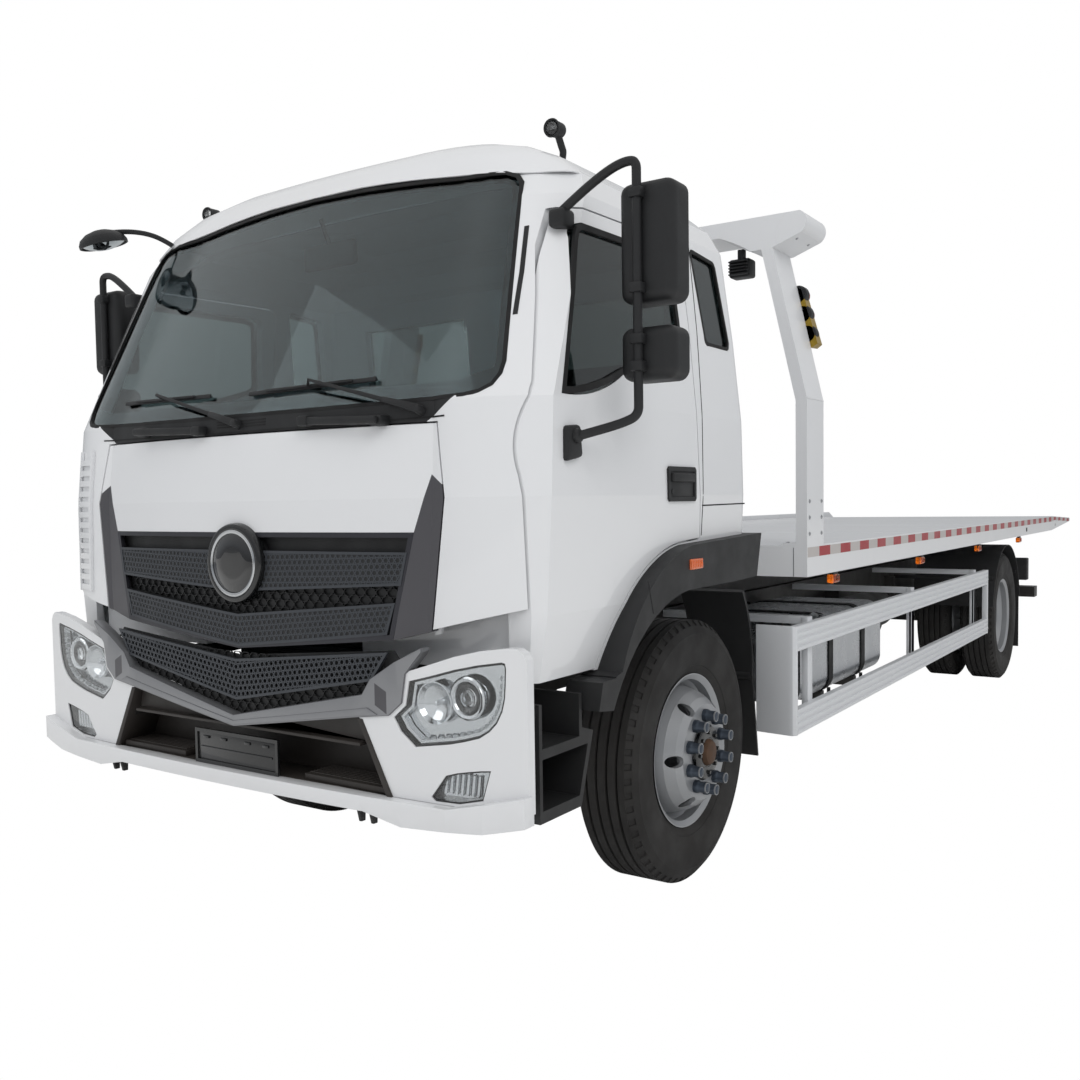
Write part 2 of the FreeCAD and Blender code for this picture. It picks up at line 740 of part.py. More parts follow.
def make_rails():
    """Ladder frame with its cross members, cab hinge brackets and bed pivot brackets."""
    y_out = FRAME_HALF_WIDTH
    y_in = FRAME_HALF_WIDTH - RAIL_FLANGE
    z0 = RAIL_TOP - RAIL_HEIGHT
    channel = front_prism(
        outline(
            (y_in, z0),
            (y_out, z0),
            (y_out, RAIL_TOP),
            (y_in, RAIL_TOP),
            (y_in, RAIL_TOP - RAIL_WALL),
            (y_out - RAIL_WALL, RAIL_TOP - RAIL_WALL),
            (y_out - RAIL_WALL, z0 + RAIL_WALL),
            (y_in, z0 + RAIL_WALL),
        ),
        RAIL_REAR_X,
        RAIL_FRONT_X,
    )
    nose_cut = block(600, RAIL_FRONT_X + 1, y_in - 1, y_out + 1, 905, RAIL_TOP + 1)
    channel = channel.cut(nose_cut)
    pieces = [channel, flipped(channel)]
    for x in CROSS_MEMBER_PLACES:
        y = y_out - RAIL_WALL
        pieces.append(bar((x, -y, CROSS_MEMBER_Z), (x, y, CROSS_MEMBER_Z), CROSS_MEMBER_RADIUS))
    for x in REST_PAD_PLACES:
        pad = block(x - 60, x + 60, y_in, y_in + 50, RAIL_TOP, TILT_RAIL_BOTTOM - SEAT_GAP)
        pieces += [pad, flipped(pad)]
    cab_post = block(-210, -150, y_in + 10, y_out, RAIL_TOP, FLOOR_Z - FLOOR_WALL - SEAT_GAP)
    pieces += [cab_post, flipped(cab_post)]
    pieces += tilt_foot_lugs()
    ear = side_prism(
        outline(
            (1020, 760),
            (RAIL_FRONT_X, 760),
            (TILT_PIN_X + 10, TILT_PIN_Z - TILT_BOSS_RADIUS),
            ((TILT_PIN_X + TILT_BOSS_RADIUS, TILT_PIN_Z), (TILT_PIN_X, TILT_PIN_Z + TILT_BOSS_RADIUS)),
            (1240, TILT_PIN_Z),
            (1020, 900),
        ),
        TILT_ARM_Y + TILT_ARM_WIDTH / 2 + 2,
        TILT_ARM_Y + TILT_ARM_WIDTH / 2 + 14,
    )
    spacer = block(1020, RAIL_FRONT_X, y_out, TILT_ARM_Y + TILT_ARM_WIDTH / 2 + 2, 760, 880)
    inner_ear = ear.copy()
    inner_ear.translate(Vector(0, -TILT_ARM_WIDTH - 16, 0))
    pin = bar(
        (TILT_PIN_X, TILT_ARM_Y - TILT_ARM_WIDTH / 2 - 20, TILT_PIN_Z),
        (TILT_PIN_X, TILT_ARM_Y + TILT_ARM_WIDTH / 2 + 20, TILT_PIN_Z),
        TILT_PIN_RADIUS,
    )
    hinge = joined([ear, spacer, inner_ear, pin])
    pieces += [hinge, flipped(hinge)]
    pivot_plate = side_prism(
        outline(
            (-6800, 860), (RAIL_REAR_X - 20, 850), (BED_PIVOT_X, BED_PIVOT_Z - 50),
            ((BED_PIVOT_X - 50, BED_PIVOT_Z), (BED_PIVOT_X, BED_PIVOT_Z + 50)), (-6800, 948),
        ),
        y_out,
        y_out + 14,
    )
    pivot = bar((BED_PIVOT_X, -y_out - 24, BED_PIVOT_Z), (BED_PIVOT_X, y_out + 24, BED_PIVOT_Z), BED_PIVOT_RADIUS)
    pieces += [pivot_plate, flipped(pivot_plate), pivot]
    end_beam = block(RAIL_REAR_X - 12, RAIL_REAR_X, -y_out, y_out, z0, 840)
    pieces.append(end_beam)
    front_beam = block(1080, RAIL_FRONT_X, -640, 640, 720, 790)
    bumper_stay = block(RAIL_FRONT_X, BUMPER_FRONT_X, 602, 640, 720, 790)
    bumper_stay = bumper_stay.cut(plan_prism(bumper_plan(BUMPER_FRONT_X + 20, BUMPER_WALL + 20 + SEAT_GAP), 700, 800))
    pieces += [front_beam, bumper_stay, flipped(bumper_stay)]
    return joined(pieces)


def make_engine():
    """Engine and gearbox as one plain block between the rails, on four brackets."""
    reach = FRAME_HALF_WIDTH - RAIL_WALL - SEAT_GAP
    engine = block(-150, 880, -300, 300, 620, 1190)
    gearbox = block(-850, -150, -190, 190, 640, 1040)
    front_mount = block(560, 640, -reach, reach, 760, 840)
    rear_mount = block(-640, -570, -reach, reach, 760, 820)
    return joined([engine, gearbox, front_mount, rear_mount])


def tilt_foot_lugs():
    """Lugs on the chassis cross member that carry the tilt cylinders' feet on their pins."""
    x, _, z = TILT_BARREL_FOOT
    lug_x = x + 120
    inner = TILT_CYLINDER_Y - TILT_BARREL_RADIUS - TILT_LUG_GAP
    outer = TILT_CYLINDER_Y + TILT_BARREL_RADIUS + TILT_LUG_GAP
    form = outline(
        (lug_x, CROSS_MEMBER_Z + 40), (x, z + 34), ((x - 34, z), (x, z - 34)), (lug_x, CROSS_MEMBER_Z - 50),
    )
    lugs = [
        side_prism(form, inner - TILT_LUG_WALL, inner),
        side_prism(form, outer, outer + TILT_LUG_WALL),
        bar((x, inner - TILT_LUG_WALL, z), (x, outer + TILT_LUG_WALL, z), TILT_EYE_PIN_RADIUS),
    ]
    return lugs + [flipped(lug) for lug in lugs]


def make_front_axle():
    """Dropped front axle beam with an eye at each end for its kingpin."""
    beam = front_prism(
        outline(
            (-700, AXLE_Z - 45),
            (-560, AXLE_Z - 45),
            (-470, AXLE_Z - 110),
            (470, AXLE_Z - 110),
            (560, AXLE_Z - 45),
            (700, AXLE_Z - 45),
            (700, AXLE_Z + 45),
            (540, AXLE_Z + 40),
            (450, AXLE_Z - 15),
            (-450, AXLE_Z - 15),
            (-540, AXLE_Z + 40),
            (-700, AXLE_Z + 45),
        ),
        -45,
        45,
    )
    eye = tube((0, KINGPIN_Y, AXLE_Z - 50), (0, KINGPIN_Y, AXLE_Z + 50), 46, KINGPIN_RADIUS + PIN_FIT)
    neck = block(-40, 40, 690, KINGPIN_Y - 30, AXLE_Z - 44, AXLE_Z + 44)
    end = joined([eye, neck])
    return joined([beam, end, flipped(end)])


def make_springs():
    """Leaf springs of both axles: each a curved pack, joined to the hangers at its ends."""
    def pack(axle_x, length, base_z, y, rise, hanger_y0, hanger_y1, hanger_top):
        half = length / 2
        leaf = side_prism(
            outline(
                (axle_x - half, base_z + rise),
                ((axle_x, base_z), (axle_x + half, base_z + rise)),
                (axle_x + half, base_z + rise + 14),
                (axle_x + half * 0.5, base_z + rise * 0.25 + 45),
                (axle_x, base_z + 48),
                (axle_x - half * 0.5, base_z + rise * 0.25 + 45),
                (axle_x - half, base_z + rise + 14),
            ),
            y - 38,
            y + 38,
        )
        hangers = []
        for x in (axle_x - half + 20, axle_x + half - 20):
            hangers.append(block(x - 20, x + 20, hanger_y0, hanger_y1, base_z + rise, hanger_top))
        return joined([leaf] + hangers)
    rail_low = RAIL_TOP - RAIL_HEIGHT
    front = pack(0, 1400, AXLE_Z - 15 + SEAT_GAP, 400, 130, 370, FRAME_HALF_WIDTH, rail_low - SEAT_GAP)
    outside = FRAME_HALF_WIDTH + SEAT_GAP
    rear = pack(REAR_AXLE_X, 1500, AXLE_Z + AXLE_TUBE_RADIUS + SEAT_GAP, 480, 120, outside, 500, 860)
    return Part.makeCompound([front, flipped(front), rear, flipped(rear)])


def make_rear_axle():
    """Rear axle: banjo housing and tubes that carry the hubs."""
    case = bar((REAR_AXLE_X, -150, AXLE_Z), (REAR_AXLE_X, 150, AXLE_Z), 205)
    arms = bar((REAR_AXLE_X, -690, AXLE_Z), (REAR_AXLE_X, 690, AXLE_Z), AXLE_TUBE_RADIUS)
    spindle = bar((REAR_AXLE_X, -1000, AXLE_Z), (REAR_AXLE_X, 1000, AXLE_Z), REAR_SPINDLE_RADIUS)
    nose = bar((REAR_AXLE_X, 0, AXLE_Z), (REAR_AXLE_X + 380, 0, AXLE_Z + 30), 90)
    return joined([case, arms, spindle, nose])


def make_propshaft():
    """Propeller shaft in two lengths from the gearbox to the rear axle, with its middle bearing."""
    middle_x = CROSS_MEMBER_PLACES[2]
    middle = (middle_x, 0, 690)
    front = bar((-850 - SEAT_GAP, 0, PROPSHAFT_FRONT_Z), middle, 50)
    back = bar(middle, (REAR_AXLE_X + 380 + 8, 0, AXLE_Z + 31), 50)
    back = back.cut(make_rear_axle())
    bearing = block(middle_x - 40, middle_x + 40, -80, 80, 610, CROSS_MEMBER_Z - CROSS_MEMBER_RADIUS - SEAT_GAP)
    return joined([front.cut(make_engine()), back, bearing])


def make_entry_steps():
    """Black entry steps below the doors."""
    well = side_prism(
        outline((1005, 905), (1005, 800), (940, 780), (1012, 560), (1235, 560), (1235, 905)), 905, 1150
    )
    upper = block(1020, 1220, 960, 1151, 775, 906)
    lower = side_prism(outline((972, 745), (1022, 595), (1220, 595), (1220, 745)), 960, 1151)
    arm = block(1090, 1110, 640 + SEAT_GAP, 905, 725, 785)
    return both(joined([well.cut([upper, lower]), arm]))


def make_fuel_tank():
    """Polished fuel tank outside the left rail."""
    tank = block(-2260, -990, 470, 1100, 520, 905)
    return tank.makeFillet(80, [edge for edge in tank.Edges if abs(edge.tangentAt(edge.FirstParameter).x) > 0.9])


def make_side_equipment():
    """Tank brackets with straps, air tanks, battery box and silencer."""
    pieces = []
    for x in (-1407, -1926):
        upright = block(x - 25, x + 25, FRAME_HALF_WIDTH + SEAT_GAP, 470 - SEAT_GAP, 470, 900)
        foot = block(x - 25, x + 25, FRAME_HALF_WIDTH + SEAT_GAP, 1060, 470, 520 - SEAT_GAP)
        pieces.append(joined([upright, foot]))
    battery = block(-1650, -1050, -1050, -470, 520, 900)
    hanger = block(-1500, -1200, -470, -FRAME_HALF_WIDTH - SEAT_GAP, 720, 880)
    silencer = bar((-2700, -700, 620), (-1800, -700, 620), 190)
    silencer_hanger = block(-2300, -2200, -520, -FRAME_HALF_WIDTH - SEAT_GAP, 560, 880)
    air = bar((-3800, 620, 700), (-2900, 620, 700), 130)
    air_hanger = block(-3400, -3300, FRAME_HALF_WIDTH + SEAT_GAP, 520, 660, 880)
    return Part.makeCompound(pieces + [joined([battery, hanger]), joined([silencer, silencer_hanger]), joined([air, air_hanger])])


def make_side_guards():
    """Aluminium side guards: two rails and three uprights on each side, with a bent front plate."""
    x_front = -690
    x_rear = -4690
    y0 = 1165
    y1 = 1200
    top = block(x_rear, x_front, y0, y1, 817, 927)
    low = block(x_rear, x_front, y0, y1, 451, 561)
    front = block(x_front - 2, x_front + 26, 1010, y1, 451, 927)
    posts = []
    for x in (-940, -2700, -4400):
        posts.append(block(x - 30, x + 30, y0 - 30, y0, 451, 945))
        posts.append(block(x - 25, x + 25, FRAME_HALF_WIDTH + SEAT_GAP, y0 - 30, 911, 945))
    return both(joined([top, low, front] + posts))


def make_front_mudguards():
    """Mudguard and flap behind each front wheel."""
    guard = side_prism(
        outline((-560, 1080), ((-640, 900), (-660, 700)), (-720, 330), (-732, 330), (-674, 700), ((-655, 905), (-575, 1090))),
        700,
        1000,
    )
    stay = bar((-668, FRAME_HALF_WIDTH + SEAT_GAP, 700), (-668, 990, 700), 18)
    return both(joined([guard, stay]))


def make_rear_mudguards():
    """Mudguards over the rear wheels on tubular stays, with flaps behind."""
    outer = TYRE_RADIUS + 70
    wall = 6
    arc_end_z = AXLE_Z + 120
    ring = tube((REAR_AXLE_X, 590, AXLE_Z), (REAR_AXLE_X, 1200, AXLE_Z), outer, outer - wall)
    arc = ring.cut(block(REAR_AXLE_X - 800, REAR_AXLE_X + 800, 500, 1300, -200, arc_end_z))
    flap = block(REAR_AXLE_X - outer + 8, REAR_AXLE_X - outer + 20, 600, 1190, 190, arc_end_z + 20)
    stays = []
    for side in (-1, 1):
        x = REAR_AXLE_X + side * 470
        z = AXLE_Z + math.sqrt((outer - wall / 2) ** 2 - 470 ** 2)
        stays.append(bar((x, FRAME_HALF_WIDTH + SEAT_GAP, z), (x, 1180, z), 16))
    return both(joined([arc, flap] + stays))


def make_rear_lamps():
    """Rear lamp carrier with a lamp block at each side."""
    bar_part = block(-6900, -6860, FRAME_HALF_WIDTH + SEAT_GAP, 1120, 760, 840)
    lamp = block(-6930, -6840, 820, 1120, 700, 900)
    return both(joined([bar_part, lamp]))


def make_knuckle():
    """Left steering knuckle: kingpin, yoke, brake plate and spindle."""
    pin = bar((0, KINGPIN_Y, AXLE_Z - 85), (0, KINGPIN_Y, AXLE_Z + 85), KINGPIN_RADIUS)
    top = block(-40, 40, KINGPIN_Y - 40, KINGPIN_Y + 62, AXLE_Z + 55, AXLE_Z + 85)
    low = block(-40, 40, KINGPIN_Y - 40, KINGPIN_Y + 62, AXLE_Z - 85, AXLE_Z - 55)
    web = block(-40, 40, KINGPIN_Y + 50, KINGPIN_Y + 62, AXLE_Z - 85, AXLE_Z + 85)
    plate = bar((0, KINGPIN_Y + 56, AXLE_Z), (0, KINGPIN_Y + 62, AXLE_Z), 200)
    spindle = bar((0, KINGPIN_Y + 56, AXLE_Z), (0, FRONT_TRACK_HALF + 150, AXLE_Z), FRONT_SPINDLE_RADIUS)
    return joined([pin, top, low, web, plate, spindle])


def tyre_profile():
    """Half section of a tyre with its grooves left out: (radius, offset)."""
    w = TYRE_WIDTH / 2
    bead = RIM_HALF_WIDTH - 12
    return [
        (RIM_RADIUS + SEAT_GAP, -bead),
        (RIM_RADIUS + 30, -bead - 6),
        (RIM_RADIUS + 75, -w + 6),
        (RIM_RADIUS + 125, -w),
        (TYRE_RADIUS - 55, -w + 8),
        (TYRE_RADIUS - 12, -w + 24),
        (TYRE_RADIUS, -w + 40),
        (TYRE_RADIUS, w - 40),
        (TYRE_RADIUS - 12, w - 24),
        (TYRE_RADIUS - 55, w - 8),
        (RIM_RADIUS + 125, w),
        (RIM_RADIUS + 75, w - 6),
        (RIM_RADIUS + 30, bead + 6),
        (RIM_RADIUS + SEAT_GAP, bead),
    ]


def rim_profile(side):
    """Section of a rim's barrel: (radius, offset), with the disc on the side given by +1 or -1."""
    flange = RIM_HALF_WIDTH
    return [
        (RIM_FLANGE_RADIUS, side * flange),
        (RIM_RADIUS, side * (flange - 12)),
        (RIM_RADIUS - 2, side * 50),
        (RIM_DROP_RADIUS + RIM_WALL, side * 25),
        (RIM_DROP_RADIUS + RIM_WALL, -side * 15),
        (RIM_RADIUS - 2, -side * 50),
        (RIM_RADIUS, -side * (flange - 12)),
        (RIM_FLANGE_RADIUS, -side * flange),
        (RIM_FLANGE_RADIUS - 4, -side * flange),
        (RIM_RADIUS - RIM_WALL, -side * (flange - 14)),
        (RIM_RADIUS - RIM_WALL - 2, -side * 50),
        (RIM_DROP_RADIUS, -side * 15),
        (RIM_DROP_RADIUS, side * 25),
        (RIM_RADIUS - RIM_WALL - 2, side * 50),
        (RIM_RADIUS - RIM_WALL, side * (flange - 14)),
        (RIM_FLANGE_RADIUS - 4, side * flange),
    ]


def rim(x, y, side):
    """Disc wheel without its tyre, with hand holes."""
    barrel = turned(rim_profile(side), x, y, AXLE_Z)
    disc = turned(
        [
            (RIM_DROP_RADIUS + 4, side * 20),
            (RIM_DROP_RADIUS - 6, side * 60),
            (RIM_DROP_RADIUS - 20, side * 105),
            (RIM_DROP_RADIUS - 42, side * (DISC_OFFSET - 22)),
            (185, side * DISC_OFFSET),
            (HUB_BORE_RADIUS, side * DISC_OFFSET),
            (HUB_BORE_RADIUS, side * (DISC_OFFSET - DISC_WALL)),
            (180, side * (DISC_OFFSET - DISC_WALL)),
            (RIM_DROP_RADIUS - 54, side * (DISC_OFFSET - 34)),
            (RIM_DROP_RADIUS - 32, side * 100),
            (RIM_DROP_RADIUS - 18, side * 55),
            (RIM_DROP_RADIUS - 8, side * 15),
            (RIM_DROP_RADIUS + 4, side * 15),
        ],
        x,
        y,
        AXLE_Z,
    )
    holes = []
    for index in range(HAND_HOLE_COUNT):
        angle = 2 * math.pi * index / HAND_HOLE_COUNT
        cx = x + HAND_HOLE_CIRCLE_RADIUS * math.cos(angle)
        cz = AXLE_Z + HAND_HOLE_CIRCLE_RADIUS * math.sin(angle)
        holes.append(bar((cx, y + side * 60, cz), (cx, y + side * 200, cz), HAND_HOLE_RADIUS))
    return barrel.fuse([disc.cut(holes)])


def studs(x, y, outward):
    """Ring of nut caps on the stud circle."""
    caps = []
    for index in range(STUD_COUNT):
        angle = 2 * math.pi * (index + 0.5) / STUD_COUNT
        cx = x + STUD_CIRCLE_RADIUS * math.cos(angle)
        cz = AXLE_Z + STUD_CIRCLE_RADIUS * math.sin(angle)
        caps.append(bar((cx, y, cz), (cx, y + outward * NUT_CAP_LENGTH, cz), NUT_CAP_RADIUS))
    return caps


def make_front_rim():
    """Left front wheel without its tyre: rim, hub and nut caps."""
    face = FRONT_TRACK_HALF + DISC_OFFSET
    bore = FRONT_SPINDLE_RADIUS + RUNNING_GAP
    hub = turned(
        [(HUB_RADIUS, 0), (HUB_RADIUS, -150), (175, -150), (175, -255), (bore, -255), (bore, -12), (0.01, -12), (0.01, 0)],
        0,
        face + 12,
        AXLE_Z,
    )
    flange = turned(
        [(HUB_BORE_RADIUS + 60, 0), (HUB_BORE_RADIUS + 60, -20), (HUB_RADIUS - 20, -20), (HUB_RADIUS - 20, 0)],
        0,
        face - DISC_WALL,
        AXLE_Z,
    )
    return joined([rim(0, FRONT_TRACK_HALF, 1), hub, flange] + studs(0, face, 1))


def make_rear_rims():
    """Left rear twin wheel without its tyres: two rims, hub and nut caps."""
    face = REAR_OUTER_Y - DISC_OFFSET
    bore = REAR_SPINDLE_RADIUS + RUNNING_GAP
    hub = turned(
        [(HUB_RADIUS, 140), (HUB_RADIUS, 0), (175, 0), (175, -200), (bore, -200), (bore, 110), (0.01, 110), (0.01, 140)],
        REAR_AXLE_X,
        face,
        AXLE_Z,
    )
    rims = [rim(REAR_AXLE_X, REAR_OUTER_Y, -1), rim(REAR_AXLE_X, REAR_INNER_Y, 1)]
    return joined(rims + [hub] + studs(REAR_AXLE_X, face + DISC_WALL, 1))


def make_tyre(x, y):
    """One tyre on its rim."""
    return turned(tyre_profile(), x, y, AXLE_Z)


def make_tilt_ears():
    """Ears below the tilt frame's rails, bored for the pivot at the rear."""
    y0 = RUNNER_Y - TILT_RAIL_WIDTH / 2
    y1 = RUNNER_Y + TILT_RAIL_WIDTH / 2
    top = TILT_RAIL_BOTTOM
    radius = TILT_EAR_RADIUS
    ear = side_prism(
        outline(
            (BED_PIVOT_X + radius + 10, top),
            (BED_PIVOT_X + radius, BED_PIVOT_Z),
            ((BED_PIVOT_X, BED_PIVOT_Z - radius), (BED_PIVOT_X - radius, BED_PIVOT_Z)),
            (BED_PIVOT_X - radius - 10, top),
        ),
        y0,
        y1,
    )
    hole = bar((BED_PIVOT_X, y0 - 1, BED_PIVOT_Z), (BED_PIVOT_X, y1 + 1, BED_PIVOT_Z), BED_PIVOT_RADIUS + PIN_FIT)
    return both(ear.cut(hole))


def make_tilt_frame():
    """Tilt frame: two rails with cross tubes and the lugs of the tilt cylinders' rods."""
    top = TILT_RAIL_BOTTOM + TILT_RAIL_HEIGHT
    y0 = RUNNER_Y - TILT_RAIL_WIDTH / 2
    y1 = RUNNER_Y + TILT_RAIL_WIDTH / 2
    rail = block(TILT_RAIL_REAR_X, TILT_RAIL_FRONT_X, y0, y1, TILT_RAIL_BOTTOM, top)
    pieces = [rail, flipped(rail)]
    for x in TILT_CROSS_PLACES:
        pieces.append(block(x - 30, x + 30, -y0 - 1, y0 + 1, TILT_RAIL_BOTTOM + 10, TILT_CROSS_TOP))
    pin_x, _, pin_z = TILT_ROD_EYE
    beam_x = pin_x - 100
    pieces.append(block(beam_x - 60, beam_x, -y0 - 1, y0 + 1, TILT_RAIL_BOTTOM + 10, TILT_CROSS_TOP))
    form = outline(
        (beam_x - 30, TILT_RAIL_BOTTOM + 10), (pin_x, pin_z - 32), ((pin_x + 32, pin_z), (pin_x, pin_z + 32)),
        (beam_x - 30, TILT_CROSS_TOP + 30),
    )
    reach = TILT_EYE_HALF_WIDTH + TILT_LUG_GAP
    for y in (TILT_CYLINDER_Y - reach - TILT_LUG_WALL, TILT_CYLINDER_Y + reach):
        lug = side_prism(form, y, y + TILT_LUG_WALL)
        pieces += [lug, flipped(lug)]
    for y in (TILT_CYLINDER_Y - reach - TILT_LUG_WALL - 12, TILT_CYLINDER_Y + reach + TILT_LUG_WALL):
        boss = bar((pin_x, y, pin_z), (pin_x, y + 12, pin_z), TILT_EYE_PIN_RADIUS)
        pieces += [boss, flipped(boss)]
    return joined(pieces)


def make_slide_barrel():
    """Barrel of the long cylinder that slides the bed."""
    z = TILT_CROSS_TOP + SEAT_GAP + SLIDE_BARREL_RADIUS
    bore = SLIDE_ROD_RADIUS + RUNNING_GAP
    barrel = tube((SLIDE_BARREL_FRONT_X, 0, z), (SLIDE_BARREL_REAR_X, 0, z), SLIDE_BARREL_RADIUS, bore)
    cap = bar((SLIDE_BARREL_FRONT_X + 40, 0, z), (SLIDE_BARREL_FRONT_X, 0, z), SLIDE_BARREL_RADIUS)
    foot = block(SLIDE_BARREL_FRONT_X + 40, SLIDE_BARREL_FRONT_X + 70, -60, 60, TILT_CROSS_TOP + SEAT_GAP, z + 30)
    return joined([barrel, cap, foot])


def make_slide_rod():
    """Rod of the bed's cylinder with the bracket that carries it under the bed."""
    z = TILT_CROSS_TOP + SEAT_GAP + SLIDE_BARREL_RADIUS
    bearer_x = BED_FRONT_X - 60 - 8 * CROSS_BEARER_PITCH
    bearer_low = DECK_TOP - DECK_THICKNESS - CROSS_BEARER_HEIGHT
    rod = bar((SLIDE_BARREL_FRONT_X - 150, 0, z), (bearer_x + 30, 0, z), SLIDE_ROD_RADIUS)
    bracket = block(bearer_x, bearer_x + CROSS_BEARER_WIDTH, -60, 60, z - 36, bearer_low - SEAT_GAP)
    return joined([rod, bracket])


def tilt_line():
    """Foot, eye and direction of the tilt cylinders in the middle plane."""
    foot = Vector(*TILT_BARREL_FOOT)
    eye = Vector(*TILT_ROD_EYE)
    line = eye - foot
    line.normalize()
    return foot, eye, line


def make_tilt_barrels():
    """Barrels of the two tilt cylinders, each with the eye at its foot."""
    foot, _, line = tilt_line()
    start = foot + Vector(0, TILT_CYLINDER_Y, 0)
    end = start + line * 1020
    half = TILT_BARREL_RADIUS - 5
    body = bar(tuple(start + line * 32), tuple(end), TILT_BARREL_RADIUS)
    eye = bar((start.x, start.y - half, start.z), (start.x, start.y + half, start.z), TILT_EYE_RADIUS)
    bore = bar(tuple(start + line * 120), tuple(end + line), TILT_ROD_RADIUS + RUNNING_GAP)
    hole = bar(
        (start.x, start.y - half - 1, start.z), (start.x, start.y + half + 1, start.z), TILT_EYE_PIN_RADIUS + PIN_FIT
    )
    return both(joined([body, eye]).cut([bore, hole]))


def make_tilt_rods():
    """Rods of the two tilt cylinders with their eyes."""
    _, eye, line = tilt_line()
    end = eye + Vector(0, TILT_CYLINDER_Y, 0)
    start = end - line * 1080
    shaft = bar(tuple(start), tuple(end), TILT_ROD_RADIUS)
    half = TILT_EYE_HALF_WIDTH
    ring = bar((end.x, end.y - half, end.z), (end.x, end.y + half, end.z), TILT_EYE_RADIUS)
    return both(joined([shaft, ring]))


def make_bed():
    """Sliding bed: deck, side rails, front beam, cross bearers, runners and tapered tail."""
    low = DECK_TOP - SIDE_RAIL_HEIGHT
    tail_low = TAIL_TIP_TOP - TAIL_TIP_THICKNESS
    side = side_prism(
        outline(
            (BED_FRONT_X, low),
            (BED_FRONT_X, DECK_TOP),
            (TAIL_START_X, DECK_TOP),
            (TAIL_X + 20, TAIL_TIP_TOP + 2),
            ((TAIL_X, TAIL_TIP_TOP - TAIL_TIP_THICKNESS / 2), (TAIL_X + 20, tail_low)),
            (TAIL_START_X, low),
        ),
        BED_HALF_WIDTH - SIDE_RAIL_WIDTH,
        BED_HALF_WIDTH,
    )
    inner = BED_HALF_WIDTH - SIDE_RAIL_WIDTH
    deck = block(TAIL_START_X, BED_FRONT_X, -inner, inner, DECK_TOP - DECK_THICKNESS, DECK_TOP)
    tail = side_prism(
        outline(
            (TAIL_START_X, DECK_TOP), (TAIL_X + 20, TAIL_TIP_TOP), (TAIL_X + 20, tail_low),
            (TAIL_START_X, DECK_TOP - 40),
        ),
        -inner,
        inner,
    )
    front = block(BED_FRONT_X - 60, BED_FRONT_X, -inner, inner, low, DECK_TOP - DECK_THICKNESS)
    pieces = [side, flipped(side), deck, tail, front]
    bearer_top = DECK_TOP - DECK_THICKNESS
    bearer_low = bearer_top - CROSS_BEARER_HEIGHT
    x = BED_FRONT_X - 60 - CROSS_BEARER_PITCH
    while x > TAIL_START_X + 100:
        pieces.append(block(x, x + CROSS_BEARER_WIDTH, -inner, inner, bearer_low, bearer_top))
        x -= CROSS_BEARER_PITCH
    runner_low = TILT_RAIL_BOTTOM + TILT_RAIL_HEIGHT + RUNNING_GAP
    runner = block(RUNNER_REAR_X, RUNNER_FRONT_X, RUNNER_Y - RUNNER_WIDTH / 2, RUNNER_Y + RUNNER_WIDTH / 2, runner_low, bearer_top)
    pieces += [runner, flipped(runner)]
    return joined(pieces)


def make_gantry():
    """Gantry behind the cab: two posts that lean inward from the knee, with a winged box beam on top."""
    x1 = BED_FRONT_X
    lean = POST_Y_OUTER - POST_TOP_Y_OUTER
    beam_low = GANTRY_TOP_Z - GANTRY_HEIGHT
    arch = beam_low + ARCH_RISE
    post = front_prism(
        outline(
            (POST_Y_OUTER - POST_THICKNESS, DECK_TOP),
            (POST_Y_OUTER, DECK_TOP),
            (POST_Y_OUTER, KNEE_Z),
            (POST_TOP_Y_OUTER, beam_low + 8),
            (POST_TOP_Y_OUTER - POST_THICKNESS, beam_low + 8),
            (POST_Y_OUTER - POST_THICKNESS, KNEE_Z - lean * 0.05),
        ),
        x1 - POST_DEPTH,
        x1,
    )
    beam = front_prism(
        outline(
            (0, GANTRY_TOP_Z),
            (-BED_HALF_WIDTH + 30, GANTRY_TOP_Z),
            ((-BED_HALF_WIDTH, GANTRY_TOP_Z - 45), (-BED_HALF_WIDTH + 25, GANTRY_TOP_Z - 92)),
            (-1100, beam_low),
            (-1000, beam_low - 4),
            ((-930, arch - 36), (-850, arch)),
            (850, arch),
            ((930, arch - 36), (1000, beam_low - 4)),
            (1100, beam_low),
            (BED_HALF_WIDTH - 25, GANTRY_TOP_Z - 92),
            ((BED_HALF_WIDTH, GANTRY_TOP_Z - 45), (BED_HALF_WIDTH - 30, GANTRY_TOP_Z)),
        ),
        x1 - GANTRY_DEPTH,
        x1,
    )
    foot = block(x1 - POST_DEPTH, x1, POST_Y_OUTER - POST_THICKNESS - 60, POST_Y_OUTER, DECK_TOP, DECK_TOP + 10)
    return joined([post, flipped(post), beam, foot, flipped(foot)])


def make_gantry_lamps():
    """Lamp brackets on the gantry posts with three round lamps each, facing rearward."""
    x = BED_FRONT_X - POST_DEPTH - SEAT_GAP
    plate = front_prism(outline((1080, 2440), (1148, 2400), (1205, 2160), (1130, 2160)), x - 60, x)
    lamps = []
    for share in (0.2, 0.5, 0.8):
        y = 1168 - 45 * share
        z = 2160 + 280 * share
        lamps.append(bar((x - 60, y, z), (x - 85, y, z), 32))
    return both(joined([plate] + lamps))


